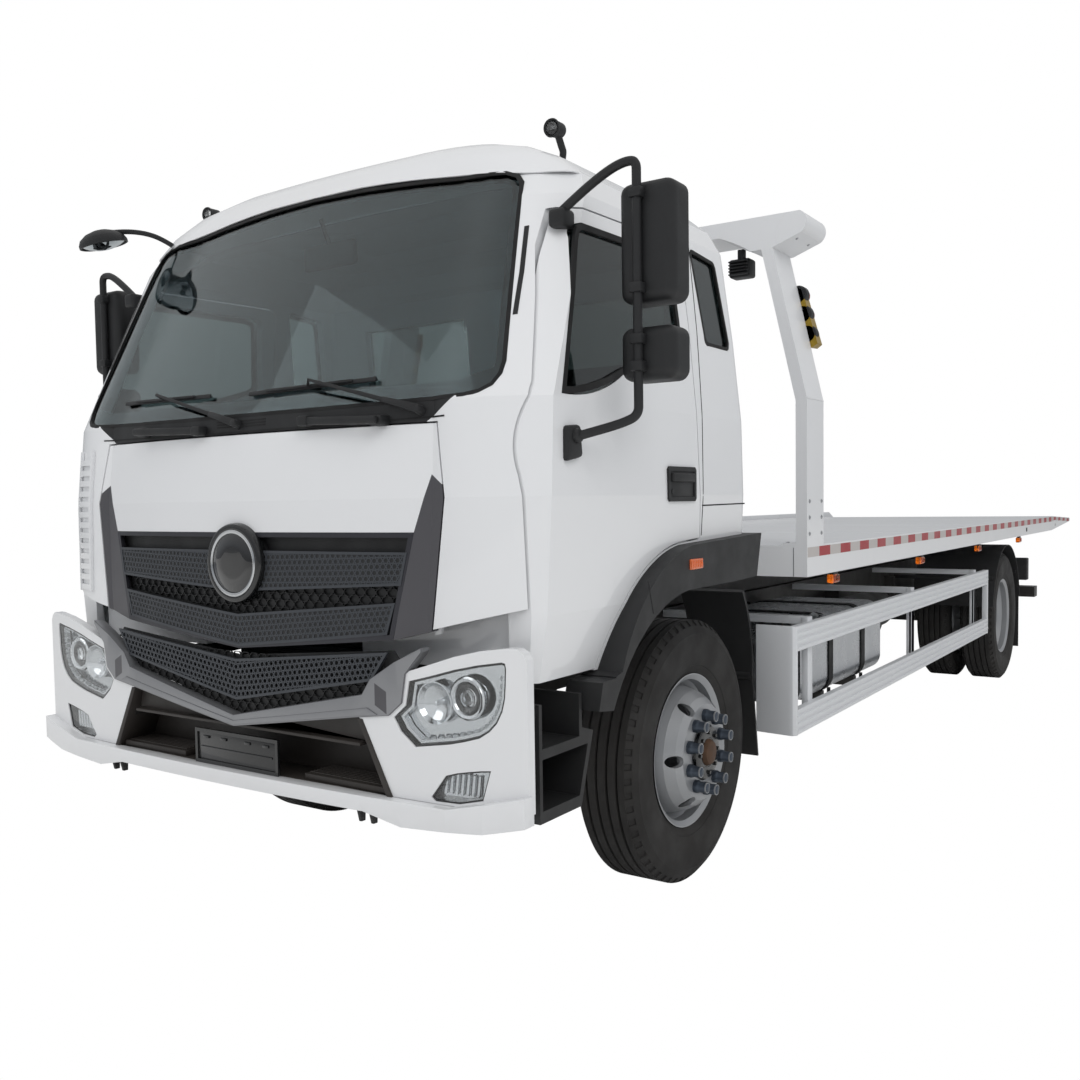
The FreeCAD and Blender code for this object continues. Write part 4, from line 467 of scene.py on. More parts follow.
class Shape:
    """A mesh in the truck's own millimetres, made with bmesh operators and put together from parts."""

    def __init__(self) -> None:
        """Starts with nothing in it."""
        self.mesh = bmesh.new()

    def add(self, other: "Shape", material: int = 0) -> "Shape":
        """Takes in another shape.

        Args:
            other: The shape to take in, which is used up.
            material: Which finish of the piece its faces get.

        Returns:
            This shape.
        """
        data = bpy.data.meshes.new("part")
        other.mesh.to_mesh(data)
        start = len(self.mesh.faces)
        self.mesh.from_mesh(data)
        bpy.data.meshes.remove(data)
        self.mesh.faces.ensure_lookup_table()
        for face in self.mesh.faces[start:]:
            face.material_index = material
        other.mesh.free()
        return self

    def move(self, x: float = 0.0, y: float = 0.0, z: float = 0.0) -> "Shape":
        """Moves the whole shape and returns it."""
        bmesh.ops.translate(self.mesh, vec=(x, y, z), verts=self.mesh.verts[:])
        return self

    def turn(self, matrix: Matrix) -> "Shape":
        """Turns the whole shape about the origin and returns it."""
        bmesh.ops.transform(self.mesh, matrix=matrix, verts=self.mesh.verts[:])
        return self

    def mirrored(self) -> "Shape":
        """A copy on the other side of the truck, with its faces outward."""
        other = Shape()
        other.mesh.free()
        other.mesh = self.mesh.copy()
        bmesh.ops.scale(other.mesh, vec=(1, -1, 1), verts=other.mesh.verts[:])
        bmesh.ops.reverse_faces(other.mesh, faces=other.mesh.faces[:])
        return other

    def both(self) -> "Shape":
        """This shape with its mirror image."""
        other = self.mirrored()
        data = bpy.data.meshes.new("part")
        other.mesh.to_mesh(data)
        self.mesh.from_mesh(data)
        bpy.data.meshes.remove(data)
        other.mesh.free()
        return self

    def bend(self, way: Rule) -> "Shape":
        """Puts each vertex where a rule says, such as onto the cab's face, and returns the shape.

        Args:
            way: Rule that gives each vertex its new place.

        Returns:
            This shape.
        """
        for vert in self.mesh.verts:
            vert.co = way(vert.co)
        return self

    def slices(self, axis: int, step: float) -> "Shape":
        """Cuts the faces at even steps along an axis, so that they can follow a curve.

        Args:
            axis: 0 for x, 1 for y, 2 for z.
            step: Distance between cuts.

        Returns:
            This shape.
        """
        values = [vert.co[axis] for vert in self.mesh.verts]
        place = math.ceil(min(values) / step) * step
        normal = [0.0, 0.0, 0.0]
        normal[axis] = 1.0
        while place < max(values):
            point = [0.0, 0.0, 0.0]
            point[axis] = place
            everything = self.mesh.verts[:] + self.mesh.edges[:] + self.mesh.faces[:]
            bmesh.ops.bisect_plane(self.mesh, geom=everything, dist=0.01, plane_co=point, plane_no=normal)
            place += step
        return self

    def clip(self, point: Numbers, normal: Numbers) -> "Shape":
        """Cuts away what lies beyond a plane.

        Args:
            point: A place on the plane.
            normal: Direction of the side that goes.

        Returns:
            This shape.
        """
        everything = self.mesh.verts[:] + self.mesh.edges[:] + self.mesh.faces[:]
        bmesh.ops.bisect_plane(self.mesh, geom=everything, dist=0.01, plane_co=point, plane_no=normal,
                               clear_outer=True)
        return self

    def thicken(self, depth: float, way: Numbers = BACKWARD) -> "Shape":
        """Gives a sheet its thickness along one direction.

        Args:
            depth: Thickness.
            way: Direction of the new faces.

        Returns:
            This shape.
        """
        grown = bmesh.ops.extrude_face_region(self.mesh, geom=self.mesh.faces[:])["geom"]
        moved = [part for part in grown if isinstance(part, bmesh.types.BMVert)]
        bmesh.ops.translate(self.mesh, vec=Vector(way) * depth, verts=moved)
        return self.outward()

    def shell(self, depth: float) -> "Shape":
        """Gives a curved sheet its thickness, to the back of its faces."""
        bmesh.ops.solidify(self.mesh, geom=self.mesh.faces[:], thickness=depth)
        return self.outward()

    def laid(self, way: Rule, depth: float, across: float = 60, up: float = 0) -> "Shape":
        """Turns a flat sheet into a plate that follows a curved face.

        Args:
            way: Rule that lays it on the face.
            depth: Thickness.
            across: Step of the cuts from side to side.
            up: Step of the cuts from low to high, where it needs them.

        Returns:
            The plate.
        """
        self.slices(1, across)
        if up:
            self.slices(2, up)
        return self.bend(way).thicken(depth)

    def outward(self) -> "Shape":
        """Points the faces outward."""
        bmesh.ops.recalc_face_normals(self.mesh, faces=self.mesh.faces[:])
        return self

    def rounded(self, size: float, segments: int = 2, sharper_deg: float = 30.0) -> "Shape":
        """Rounds every edge that is sharper than an angle.

        Args:
            size: Width of the rounding.
            segments: Faces across it.
            sharper_deg: Edges flatter than this stay.

        Returns:
            This shape.
        """
        limit = math.radians(sharper_deg)
        edges = [edge for edge in self.mesh.edges if edge.is_manifold and edge.calc_face_angle(0.0) > limit]
        return self.bevelled(edges, size, segments)

    def bevelled(self, edges: Sequence[bmesh.types.BMEdge], size: float, segments: int,
                 clamp: bool = True) -> "Shape":
        """Rounds the given edges.

        Args:
            edges: Edges to round.
            size: Width of the rounding.
            segments: Faces across it.
            clamp: Whether it stops where two roundings meet.

        Returns:
            This shape.
        """
        bmesh.ops.bevel(self.mesh, geom=edges, offset=size, offset_type="OFFSET", affect="EDGES",
                        segments=segments, profile=0.5, material=-1, clamp_overlap=clamp)
        return self

    def piece(self, name: str, finishes: Sequence["Paint | Clear"], body: str, slot: str,
              smooth_deg: float = 35.0) -> bpy.types.Object:
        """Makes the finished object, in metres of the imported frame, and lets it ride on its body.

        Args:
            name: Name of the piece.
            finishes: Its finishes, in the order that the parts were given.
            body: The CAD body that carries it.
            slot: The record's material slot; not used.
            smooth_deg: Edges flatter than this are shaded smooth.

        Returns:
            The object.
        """
        bmesh.ops.translate(self.mesh, vec=(FRONT_AXLE_X / MM, 0, 0), verts=self.mesh.verts[:])
        bmesh.ops.scale(self.mesh, vec=(MM, MM, MM), verts=self.mesh.verts[:])
        data = bpy.data.meshes.new(name)
        self.mesh.to_mesh(data)
        self.mesh.free()
        for finish in finishes:
            data.materials.append(finish.value.material())
        data.shade_smooth()
        data.set_sharp_from_angle(angle=math.radians(smooth_deg))
        made = bpy.data.objects.new(name, data)
        bpy.context.scene.collection.objects.link(made)
        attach(made, body)
        log.info("%s rides on %s with %d faces", name, body, len(data.polygons))
        return made


def block(low: Numbers, high: Numbers, rounding: float = 0.0, segments: int = 2) -> Shape:
    """Box between two corners, with its edges rounded where a rounding is given.

    Args:
        low: Lowest corner.
        high: Highest corner.
        rounding: Width of the rounding.
        segments: Faces across it.

    Returns:
        The box.
    """
    made = Shape()
    bmesh.ops.create_cube(made.mesh, size=1.0)
    bmesh.ops.scale(made.mesh, vec=[b - a for a, b in zip(low, high)], verts=made.mesh.verts[:])
    made.move(*[(a + b) / 2 for a, b in zip(low, high)])
    return made.rounded(rounding, segments) if rounding else made


def along(start: Numbers, end: Numbers, up: Numbers = UP) -> Matrix:
    """Turn and move that put the Z axis on the line from start to end, from the line's middle.

    Args:
        start: First end.
        end: Last end.
        up: Direction that the Y axis leans to.

    Returns:
        The matrix.
    """
    line = (Vector(end) - Vector(start)).normalized()
    side = Vector(up).cross(line)
    side = side.normalized() if side.length > 1e-6 else Vector(FORWARD)
    over = line.cross(side)
    turn = Matrix((side, over, line)).transposed().to_4x4()
    return Matrix.Translation((Vector(start) + Vector(end)) / 2) @ turn


def rod(start: Numbers, end: Numbers, radius: float, end_radius: float | None = None,
        segments: int = 24, rounding: float = 0.0) -> Shape:
    """Round bar between two points, tapered where an end radius is given.

    Args:
        start: First end.
        end: Last end.
        radius: Radius at the first end.
        end_radius: Radius at the last end.
        segments: Faces round it.
        rounding: Rounding of its rims.

    Returns:
        The bar.
    """
    made = Shape()
    length = (Vector(end) - Vector(start)).length
    far = radius if end_radius is None else end_radius
    bmesh.ops.create_cone(made.mesh, cap_ends=True, segments=segments, radius1=radius, radius2=far, depth=length)
    if rounding:
        made.rounded(rounding, 2, 40)
    return made.turn(along(start, end))


def beam(start: Numbers, end: Numbers, width: float, depth: float,
         up: Numbers = FORWARD, rounding: float = 0.0, end_share: float = 1.0) -> Shape:
    """Flat bar between two points.

    Args:
        start: Middle of its first end.
        end: Middle of its last end.
        width: Size across, square to the up direction.
        depth: Size along the up direction.
        up: Direction that its flat side faces.
        rounding: Rounding of its edges.
        end_share: Size of the last end as a share of the first.

    Returns:
        The bar.
    """
    length = (Vector(end) - Vector(start)).length
    made = block((-width / 2, -depth / 2, -length / 2), (width / 2, depth / 2, length / 2))
    for vert in made.mesh.verts:
        if vert.co.z > 0:
            vert.co.x *= end_share
            vert.co.y *= end_share
    if rounding:
        made.rounded(rounding)
    return made.turn(along(start, end, up))


def lathe(profile: Points, centre: Numbers, axis: Numbers = LEFT,
          steps: int = 64) -> Shape:
    """Turned part: a closed profile of (radius, place along the axis) spun once round.

    Args:
        profile: Its corners, from the axis or round a ring.
        centre: Where the axis has its place 0.
        axis: Direction of the axis.
        steps: Faces round the turn.

    Returns:
        The part with its faces outward.
    """
    made = Shape()
    verts = [made.mesh.verts.new((radius, 0, place)) for radius, place in profile]
    edges = [made.mesh.edges.new((a, b)) for a, b in zip(verts, verts[1:])]
    if min(radius for radius, _ in profile) > 0.5:
        edges.append(made.mesh.edges.new((verts[-1], verts[0])))
    bmesh.ops.spin(made.mesh, geom=verts + edges, cent=(0, 0, 0), axis=UP, angle=math.tau,
                   steps=steps, use_merge=True)
    bmesh.ops.remove_doubles(made.mesh, verts=made.mesh.verts[:], dist=0.01)
    made.outward()
    turn = Vector(UP).rotation_difference(Vector(axis)).to_matrix().to_4x4()
    return made.turn(Matrix.Translation(Vector(centre)) @ turn)


def sheet(points: Points, plane: str = "front") -> Shape:
    """Flat face through points: (y, z) in the front plane, (x, z) in the side plane, (x, y) in the plan.

    Args:
        points: Closed outline.
        plane: Plane of the points.

    Returns:
        One face that looks outward.
    """
    made = Shape()
    spread = {"front": lambda a, b: (0, a, b), "side": lambda a, b: (a, 0, b), "plan": lambda a, b: (a, b, 0)}
    made.mesh.faces.new([made.mesh.verts.new(spread[plane](a, b)) for a, b in points])
    made.mesh.normal_update()
    for face in made.mesh.faces:
        if face.normal.dot(PLANE_FACING[plane]) < 0:
            face.normal_flip()
    return made


def ring(points: Points, width: float, plane: str = "front") -> Shape:
    """Flat frame of an even width inside a closed outline.

    Args:
        points: Closed outline.
        width: Width of the frame.
        plane: Plane of the points.

    Returns:
        The flat frame.
    """
    made = sheet(points, plane)
    frame_faces = bmesh.ops.inset_region(made.mesh, faces=made.mesh.faces[:], use_boundary=True, thickness=width,
                                         use_even_offset=True)["faces"]
    inner = [face for face in made.mesh.faces if face not in set(frame_faces)]
    bmesh.ops.delete(made.mesh, geom=inner, context="FACES")
    return made


def prism(points: Points, start: float, end: float, plane: str = "front", rounding: float = 0.0) -> Shape:
    """Solid from a closed outline, between two places square to its plane.

    Args:
        points: Closed outline.
        start: Where it begins.
        end: Where it ends.
        plane: Plane of the points.
        rounding: Rounding of its edges.

    Returns:
        The solid.
    """
    made = sheet(points, plane)
    direction = PLANE_FACING[plane]
    made.move(*(direction * start))
    grown = bmesh.ops.extrude_face_region(made.mesh, geom=made.mesh.faces[:])["geom"]
    moved = [part for part in grown if isinstance(part, bmesh.types.BMVert)]
    bmesh.ops.translate(made.mesh, vec=direction * (end - start), verts=moved)
    made.outward()
    return made.rounded(rounding) if rounding else made


def tube(points: Points, radius: float, resolution: int = 8) -> Shape:
    """Round tube along a smooth line that the points pull on.

    Args:
        points: Places that pull on the line; the first and last are its ends.
        radius: Radius.
        resolution: Steps between two points.

    Returns:
        The tube.
    """
    curve = bpy.data.curves.new("line", "CURVE")
    curve.dimensions = "3D"
    curve.bevel_depth = radius
    curve.bevel_resolution = 4
    curve.resolution_u = resolution
    curve.use_fill_caps = True
    spline = curve.splines.new("NURBS")
    spline.points.add(len(points) - 1)
    for knot, place in zip(spline.points, points):
        knot.co = (*place, 1.0)
    spline.order_u = 3
    spline.use_endpoint_u = True
    holder = bpy.data.objects.new("line", curve)
    data = bpy.data.meshes.new_from_object(holder)
    made = Shape()
    made.mesh.from_mesh(data)
    bpy.data.objects.remove(holder)
    bpy.data.curves.remove(curve)
    bpy.data.meshes.remove(data)
    bmesh.ops.remove_doubles(made.mesh, verts=made.mesh.verts[:], dist=0.01)
    return made.outward()


def on_cab(offset: float = 0.0) -> Rule:
    """Rule that lays a flat front view onto the cab's face, with its own x kept as the stand-off."""
    return lambda co: Vector((cab_front(co.y, co.z) + co.x + offset, co.y, co.z))


def on_side(offset: float = 0.0) -> Rule:
    """Rule that lays a flat side view onto the cab's left side, with its own y kept as the stand-off."""
    return lambda co: Vector((co.x, station(co.z)[1] + co.y + offset, co.z))


def on_bumper(offset: float = 0.0) -> Rule:
    """Rule that lays a flat front view onto the bumper's face."""
    return lambda co: Vector((bumper_front(co.y) + co.x + offset, co.y, co.z))


def whole(half: Points) -> list[Pair]:
    """Closed outline from the left half, mirrored at the middle."""
    return [tuple(point) for point in half] + [(-y, z) for y, z in reversed(half) if abs(y) > 0.01]


def sided_block(side: int, low: Numbers, high: Numbers, rounding: float = 0.0,
                segments: int = 2) -> Shape:
    """Box whose corners are given for the left side, on the left (1) or the right (-1)."""
    near, far = sorted((side * low[1], side * high[1]))
    return block((low[0], near, low[2]), (high[0], far, high[2]), rounding, segments)


@dataclass
class FrontBumper:
    """The white bumper corners with their lip, the V-shaped band, the dark recess and the plate holder."""

    wall: float = 32
    corner: Points = (
        (672, 603), (687, 603), (562, 833), (682, 849), (732, 891), (747, 979), (759, 989), (840, 1014),
        (922, 1041), (1010, 1062), (1098, 1074), (1128, 1074), (1148, 1062), (1158, 1040), (1158, 603))
    headlamp: Points = (
        (697, 845), (742, 884), (756, 958), (836, 979), (920, 1003), (1000, 1021), (1080, 1034), (1091, 1031),
        (1094, 1016), (1092, 970), (1089, 930), (1080, 893), (1062, 858), (1037, 832), (1004, 811), (950, 795),
        (900, 783), (776, 763), (722, 805))
    fog_lamp: Points = (
        (831, 621), (885, 690), (925, 702), (965, 710), (1005, 717), (1040, 721), (1013, 631), (930, 611),
        (845, 609))
    lip_half: Points = (
        (1166, 660), (1166, 576), (1031, 545), (909, 535), (745, 527), (600, 555), (0, 555))
    lip_top: Points = ((0, 602), (911, 602))
    band_half: Points = (
        (0, 748), (562, 833), (682, 849), (732, 891), (747, 979), (809, 1048), (809, 1062), (705, 1012),
        (611, 954), (578, 905), (0, 787))

    def skin(self, points: Points, holes: Sequence[Points], front: float, wall: float,
             rounding: float) -> Shape:
        """Curved wall of the bumper with openings.

        Args:
            points: Closed outline seen from the front.
            holes: Openings in it.
            front: Stand-off of its face from the bumper's face.
            wall: Thickness.
            rounding: Rounding of its edges.

        Returns:
            The wall.
        """
        made = Shape()
        for loop in [points, *holes]:
            verts = [made.mesh.verts.new((front, y, z)) for y, z in loop]
            for a, b in zip(verts, verts[1:] + verts[:1]):
                made.mesh.edges.new((a, b))
        bmesh.ops.triangle_fill(made.mesh, use_beauty=True, edges=made.mesh.edges[:], normal=FORWARD)
        made.slices(1, 45).bend(on_bumper())
        made.mesh.normal_update()
        if sum(face.normal.x for face in made.mesh.faces) < 0:
            bmesh.ops.reverse_faces(made.mesh, faces=made.mesh.faces[:])
        made.thicken(wall)
        return made.rounded(rounding, 3, 50) if rounding else made

    def corners(self) -> Shape:
        """Both white corners with their lamp openings."""
        return self.skin(self.corner, [self.headlamp, self.fog_lamp], 0, self.wall, 9).both()

    def lip(self) -> Shape:
        """White lip that runs across below the recess and rises at its ends."""
        half = [*self.lip_top, *self.lip_half]
        return self.skin(whole(half), [], 38, 50, 15)

    def band(self) -> Shape:
        """V-shaped gunmetal band with a bevelled inner edge."""
        return self.skin(whole(self.band_half), [], 6, 40, 5)

    def band_highlight_strip(self) -> Shape:
        """Silver strip on the band's lower face: a painted highlight where that face catches the light."""
        half = ((0, 754), (560, 838), (640, 848), (600, 866), (0, 768))
        return self.skin(whole(half), [], 8.5, 6, 2)

    def recess(self) -> Shape:
        """Dark box between the corners with tread steps and the plain plate holder."""
        made = prism([(-700, 590), (700, 590), (610, 770), (-610, 770)], 1190, 1204)
        made.add(block((1196, -690, 590), (1345, 690, 602), 2))
        for side in (1, -1):
            wall = [(side * 668, 600), (side * 689, 600), (side * 575, 829), (side * 555, 829)]
            made.add(prism(wall, 1196, 1352, rounding=2))
            made.add(sided_block(side, (1215, 300, 602), (1335, 650, 622), 3))
            for row in range(7):
                place = 1225 + row * 15
                made.add(sided_block(side, (place, 312, 622), (place + 6, 638, 627), 1))
        made.add(block((1202, -560, 742), (1348, 560, 752), 2))
        made.add(prism([(-575, 752), (575, 752), (560, 828), (0, 743), (-560, 828)], 1300, 1316))
        return made

    def plate_holder(self) -> Shape:
        """Blank number plate holder with a raised frame, bolts and a lower tray."""
        made = block((1352, -207, 603), (1360, 207, 722), 2)
        made.add(ring([(-207, 603), (207, 603), (207, 722), (-207, 722)], 12).thicken(4).move(1363.5))
        made.add(block((1358, -180, 655), (1364, 180, 662), 1.5))
        for y in (-150, -60, 60, 150):
            made.add(block((1359, y - 14, 690), (1365, y + 14, 700), 2))
        return made

    def lower_tabs(self) -> Shape:
        """Short black skid tabs below the lip."""
        made = Shape()
        for y in (-690, -640, 560, 610):
            made.add(prism([(1340, 560), (1372, 560), (1360, 512), (1342, 512)], y, y + 12, "side", 2))
        return made

    def build(self) -> None:
        """Makes every piece of the bumper but its lamps and slat."""
        body = self.corners().add(self.lip())
        made = body.piece("bumper_skin", [Paint.PEARL], "chassis", "pearl_white", 42)
        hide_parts("bumper")
        # The band's silver second finish is a painted highlight on its lower face.
        band = self.band().add(self.band_highlight_strip(), 1)
        made = band.piece("bumper_v_band", [Paint.GUNMETAL, Paint.TRIM], "chassis", "gunmetal")
        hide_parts("bumper_band")
        self.recess().piece("bumper_recess", [Paint.RECESS], "chassis", "dark_plastic")
        self.plate_holder().piece("plate_holder", [Paint.GLOSS_BLACK], "chassis", "dark_plastic")
        self.lower_tabs().piece("skid_tabs", [Paint.PLASTIC], "chassis", "dark_plastic")


@dataclass
class FrontLamps:
    """Headlamps with a reflector bowl, a projector, a row of small lights and a clear lens, and fog lamps."""

    outline: Points
    fog_outline: Points
    projector: Pair = (955, 920)
    bowl: Pair = (838, 896)
    face: float = 1321

    @staticmethod
    def shrunk(points: Points, share: float) -> list[Pair]:
        """An outline shrunk about its middle."""
        my, mz = [sum(point[axis] for point in points) / len(points) for axis in (0, 1)]
        return [(my + (y - my) * share, mz + (z - mz) * share) for y, z in points]

    def housing(self) -> Shape:
        """Black rim and chrome back of the left headlamp."""
        made = Shape()
        made.add(ring(self.outline, 7).laid(on_bumper(-5), 38, 45))
        made.add(sheet(self.outline).laid(on_bumper(-41), 5, 45), 1)
        made.add(ring(self.shrunk(self.outline, 0.93), 9).laid(on_bumper(-14), 24, 45), 1)
        return made

    def reflector(self) -> Shape:
        """Chrome bowl of the main beam and the bezel round the projector."""
        y, z = self.bowl
        dish = [(12, -34), (34, -30), (52, -20), (62, -6), (66, -6), (60, -24), (40, -38), (12, -40)]
        made = lathe(dish, (self.face + 6, y, z), FORWARD, 40)
        made.add(lathe([(0.1, -40), (9, -38), (9, -22), (5, -14), (0.1, -12)], (self.face + 6, y, z), FORWARD, 20))
        y, z = self.projector
        bezel = [(42, -30), (44, -16), (50, -8), (58, -6), (64, -10), (66, -18), (60, -14), (52, -14), (47, -30)]
        made.add(lathe(bezel, (self.face + 2, y, z), FORWARD, 48))
        return made

    def projector_tube(self) -> Shape:
        """Dark cone round the projector's lens."""
        y, z = self.projector
        cone = [(28, -26), (30, -14), (40, -10), (43, -12), (43, -30), (28, -30)]
        return lathe(cone, (self.face + 2, y, z), FORWARD, 40)

    def small_lights(self) -> Shape:
        """Row of small facetted lights along the lower edge and up the outer side."""
        route = [(790, 782), (850, 790), (900, 799), (950, 811), (995, 828), (1028, 850), (1050, 880), (1064, 915),
                 (1070, 955), (1072, 1000)]
        made = Shape()
        for (y0, z0), (y1, z1) in zip(route, route[1:]):
            for share in (0.15, 0.65):
                y, z = y0 + (y1 - y0) * share, z0 + (z1 - z0) * share
                front = bumper_front(y) - 16
                made.add(block((front - 14, y - 10, z - 8), (front, y + 10, z + 8), 4, 1))
        return made

    def lens(self, points: Points, offset: float) -> Shape:
        """Clear cover a little inside its opening."""
        return sheet(self.shrunk(points, 0.985)).laid(on_bumper(offset), 2.5, 30, 30)

    def fog_bowl(self) -> Shape:
        """Chrome back of the fog lamp with its bulb shade and upright flutes."""
        made = sheet(self.fog_outline).laid(on_bumper(-30), 5, 30)
        for index in range(7):
            y = 868 + index * 19
            front = bumper_front(y) - 12
            made.add(rod((front - 12, y, 634), (front - 12, y + 7, 696), 7, 5, 10))
        return made

    def build(self) -> None:
        """Makes the lamps of both sides."""
        self.housing().both().piece("headlamp_housings", [Paint.GLOSS_BLACK, Paint.REFLECTOR], "chassis",
                                    "lamp_clear")
        self.reflector().both().piece("headlamp_reflectors", [Paint.REFLECTOR], "chassis", "lamp_clear", 25)
        self.projector_tube().both().piece("projector_cones", [Paint.GLOSS_BLACK], "chassis", "lamp_clear")
        y, z = self.projector
        ball = lathe([(0.1, -22), (26, -22), (29, -17), (24, -9), (13, -4), (0.1, -2)], (self.face + 2, y, z),
                     FORWARD, 32)
        ball.both().piece("projector_lenses", [Clear.LENS], "chassis", "lamp_clear", 60)
        self.small_lights().both().piece("running_lights", [Clear.LED], "chassis", "lamp_clear")
        cover = self.lens(self.outline, -4).both()
        made = cover.piece("headlamp_lenses", [Clear.LENS], "chassis", "lamp_clear", 60)
        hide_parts("front_lamps")
        rim = ring(self.fog_outline, 5).laid(on_bumper(-4), 30, 30)
        fog = rim.both().add(self.fog_bowl().both(), 1)
        fog.piece("fog_lamp_bowls", [Paint.GLOSS_BLACK, Paint.REFLECTOR], "chassis", "lamp_clear")
        self.lens(self.fog_outline, -5).both().piece("fog_lamp_lenses", [Clear.LENS], "chassis", "lamp_clear", 60)


@dataclass
class Grille:
    """Perforated slats over a mesh of long hexagons, their frame and the plain round badge."""

    pitch: float = 21.5
    rim: float = 9
    net: Triple = (42, 24, 5)
    disc_z: float = 1294
    disc_radius: float = 130

    def cells(self, low: Numbers, high: Numbers, wide: float, tall: float, web: float) -> Shape:
        """Sheet of hexagonal holes.

        Args:
            low: Lowest y and z that it covers.
            high: Highest y and z.
            wide: Distance between holes in a row.
            tall: Distance between rows.
            web: Width of the bars between holes.

        Returns:
            A flat sheet in the front plane.
        """
        made = Shape()
        rows = int((high[1] - low[1]) / tall) + 2
        columns = int((high[0] - low[0]) / wide) + 2
        stretch = tall / (wide * math.sqrt(3) / 2)
        for row in range(rows):
            for column in range(columns):
                y = low[0] + (column + 0.5 * (row % 2)) * wide
                turn = Matrix.Translation((y, low[1] / stretch + row * tall / stretch, 0)) @ Matrix.Rotation(
                    math.radians(30), 4, "Z")
                bmesh.ops.create_circle(made.mesh, cap_ends=True, segments=6, radius=wide / math.sqrt(3),
                                        matrix=turn)
        bmesh.ops.remove_doubles(made.mesh, verts=made.mesh.verts[:], dist=0.5)
        holes = made.mesh.faces[:]
        bmesh.ops.inset_individual(made.mesh, faces=holes, thickness=web / 2, use_even_offset=True)
        bmesh.ops.delete(made.mesh, geom=holes, context="FACES")
        return made.bend(lambda co: Vector((0, co.x, co.y * stretch)))

    def slat(self, half: Points, slope: float, place: Rule, depth: float) -> Shape:
        """Perforated slat of a V shape.

        Args:
            half: Left half of its outline: inner top, outer top, outer low and inner low.
            slope: Rise of its rows of holes per millimetre sideways.
            place: Rule that lays it on the face.
            depth: Thickness of its plate.

        Returns:
            Both halves with their solid rims.
        """
        ys = [y for y, _ in half]
        zs = [z - slope * y for y, z in half]
        holes = self.cells((min(ys), min(zs)), (max(ys), max(zs)), self.pitch, self.pitch * 0.86, 8.0)
        holes.bend(lambda co: Vector((co.x, co.y, co.z + slope * co.y)))
        for (y0, z0), (y1, z1) in zip(half, [*half[1:], half[0]]):
            outward = (0, z0 - z1, y1 - y0)
            length = math.hypot(y1 - y0, z1 - z0)
            inset = self.rim if (y0 or y1) else 0.0
            point = (0, y0 - outward[1] / length * inset, z0 - outward[2] / length * inset)
            holes.clip(point, outward)
        holes.both()
        bmesh.ops.remove_doubles(holes.mesh, verts=holes.mesh.verts[:], dist=0.4)
        holes.bend(place)
        holes.mesh.normal_update()
        holes.thicken(depth)
        return holes.add(ring(whole(half), self.rim).slices(1, 60).move(1.5).bend(place).thicken(depth + 6))

    def badge(self) -> Shape:
        """Plain round badge: dark face, polished ring and black outer ring."""
        radius = self.disc_radius
        face = [(0.1, 3), (radius * 0.4, 2.6), (radius * 0.74, 0.6), (radius * 0.78, -3), (0.1, -3)]
        made = lathe(face, (1349, 0, self.disc_z), FORWARD, 96)
        bright = [(radius * 0.76, -3), (radius * 0.77, 3.5), (radius * 0.82, 6), (radius * 0.86, 3.5),
                  (radius * 0.87, -3)]
        made.add(lathe(bright, (1349, 0, self.disc_z), FORWARD, 96), 1)
        outer = [(radius * 0.86, -6), (radius * 0.87, 3), (radius * 0.93, 4.5), (radius * 1.0, 0.5),
                 (radius * 1.03, -8), (radius * 1.04, -30), (radius * 0.9, -30)]
        made.add(lathe(outer, (1349, 0, self.disc_z), FORWARD, 96), 2)
        return made

    def build(self) -> None:
        """Makes the slats, the meshes behind them and the badge."""
        upper = self.slat(((0, 1337), (712, 1337), (689, 1236), (0, 1200)), 0.03, on_cab(1.5), 3.5)
        upper.add(self.slat(((0, 1123), (668, 1183), (636, 1084), (0, 1014)), 0.10, on_cab(1.5), 3.5))
        upper.piece("upper_slats", [Paint.SLAT], "front_lid", "dark_plastic")
        net = self.cells((-640, 1090), (640, 1230), *self.net).bend(on_cab(-20)).thicken(6)
        for side in (1, -1):
            net.clip((0, side * 650, 1150), (0, side, -0.15))
        net.clip((0, 0, 1236), UP)
        net.piece("lid_mesh", [Paint.PLASTIC], "front_lid", "dark_plastic")
        border = ring(whole(((0, 1397), (735, 1397), (658, 1069), (0, 1008))), 16).laid(on_cab(1), 14)
        border.piece("lid_grille_frame", [Paint.GUNMETAL_DARK], "front_lid", "gunmetal")
        lower = self.slat(((0, 973), (669, 1037), (602, 945), (0, 835)), 0.14, on_bumper(-12), 3.5)
        made = lower.piece("lower_slat", [Paint.SLAT], "chassis", "dark_plastic")
        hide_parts("bumper_grille")
        # A dark plate close behind the lower mesh is painted shade for the space behind the grille.
        back = whole(((0, 985), (672, 1040), (700, 1008), (611, 950), (578, 905), (0, 785)))
        shade_plate = sheet(back).laid(on_bumper(-35), 4)
        shade_plate.piece("lower_grille_shade_plate", [Paint.PLASTIC], "chassis", "dark_plastic")
        net = self.cells((-600, 790), (600, 960), *self.net)
        net.clip((0, 0, 783), (0, 0.18, -1)).clip((0, 0, 783), (0, -0.18, -1))
        net.bend(on_bumper(-28)).thicken(5)
        net.piece("lower_mesh", [Paint.PLASTIC], "chassis", "dark_plastic")
        self.badge().piece("plain_badge", [Paint.BADGE, Paint.CHROME, Paint.GLOSS_BLACK], "front_lid",
                           "dark_plastic", 40)


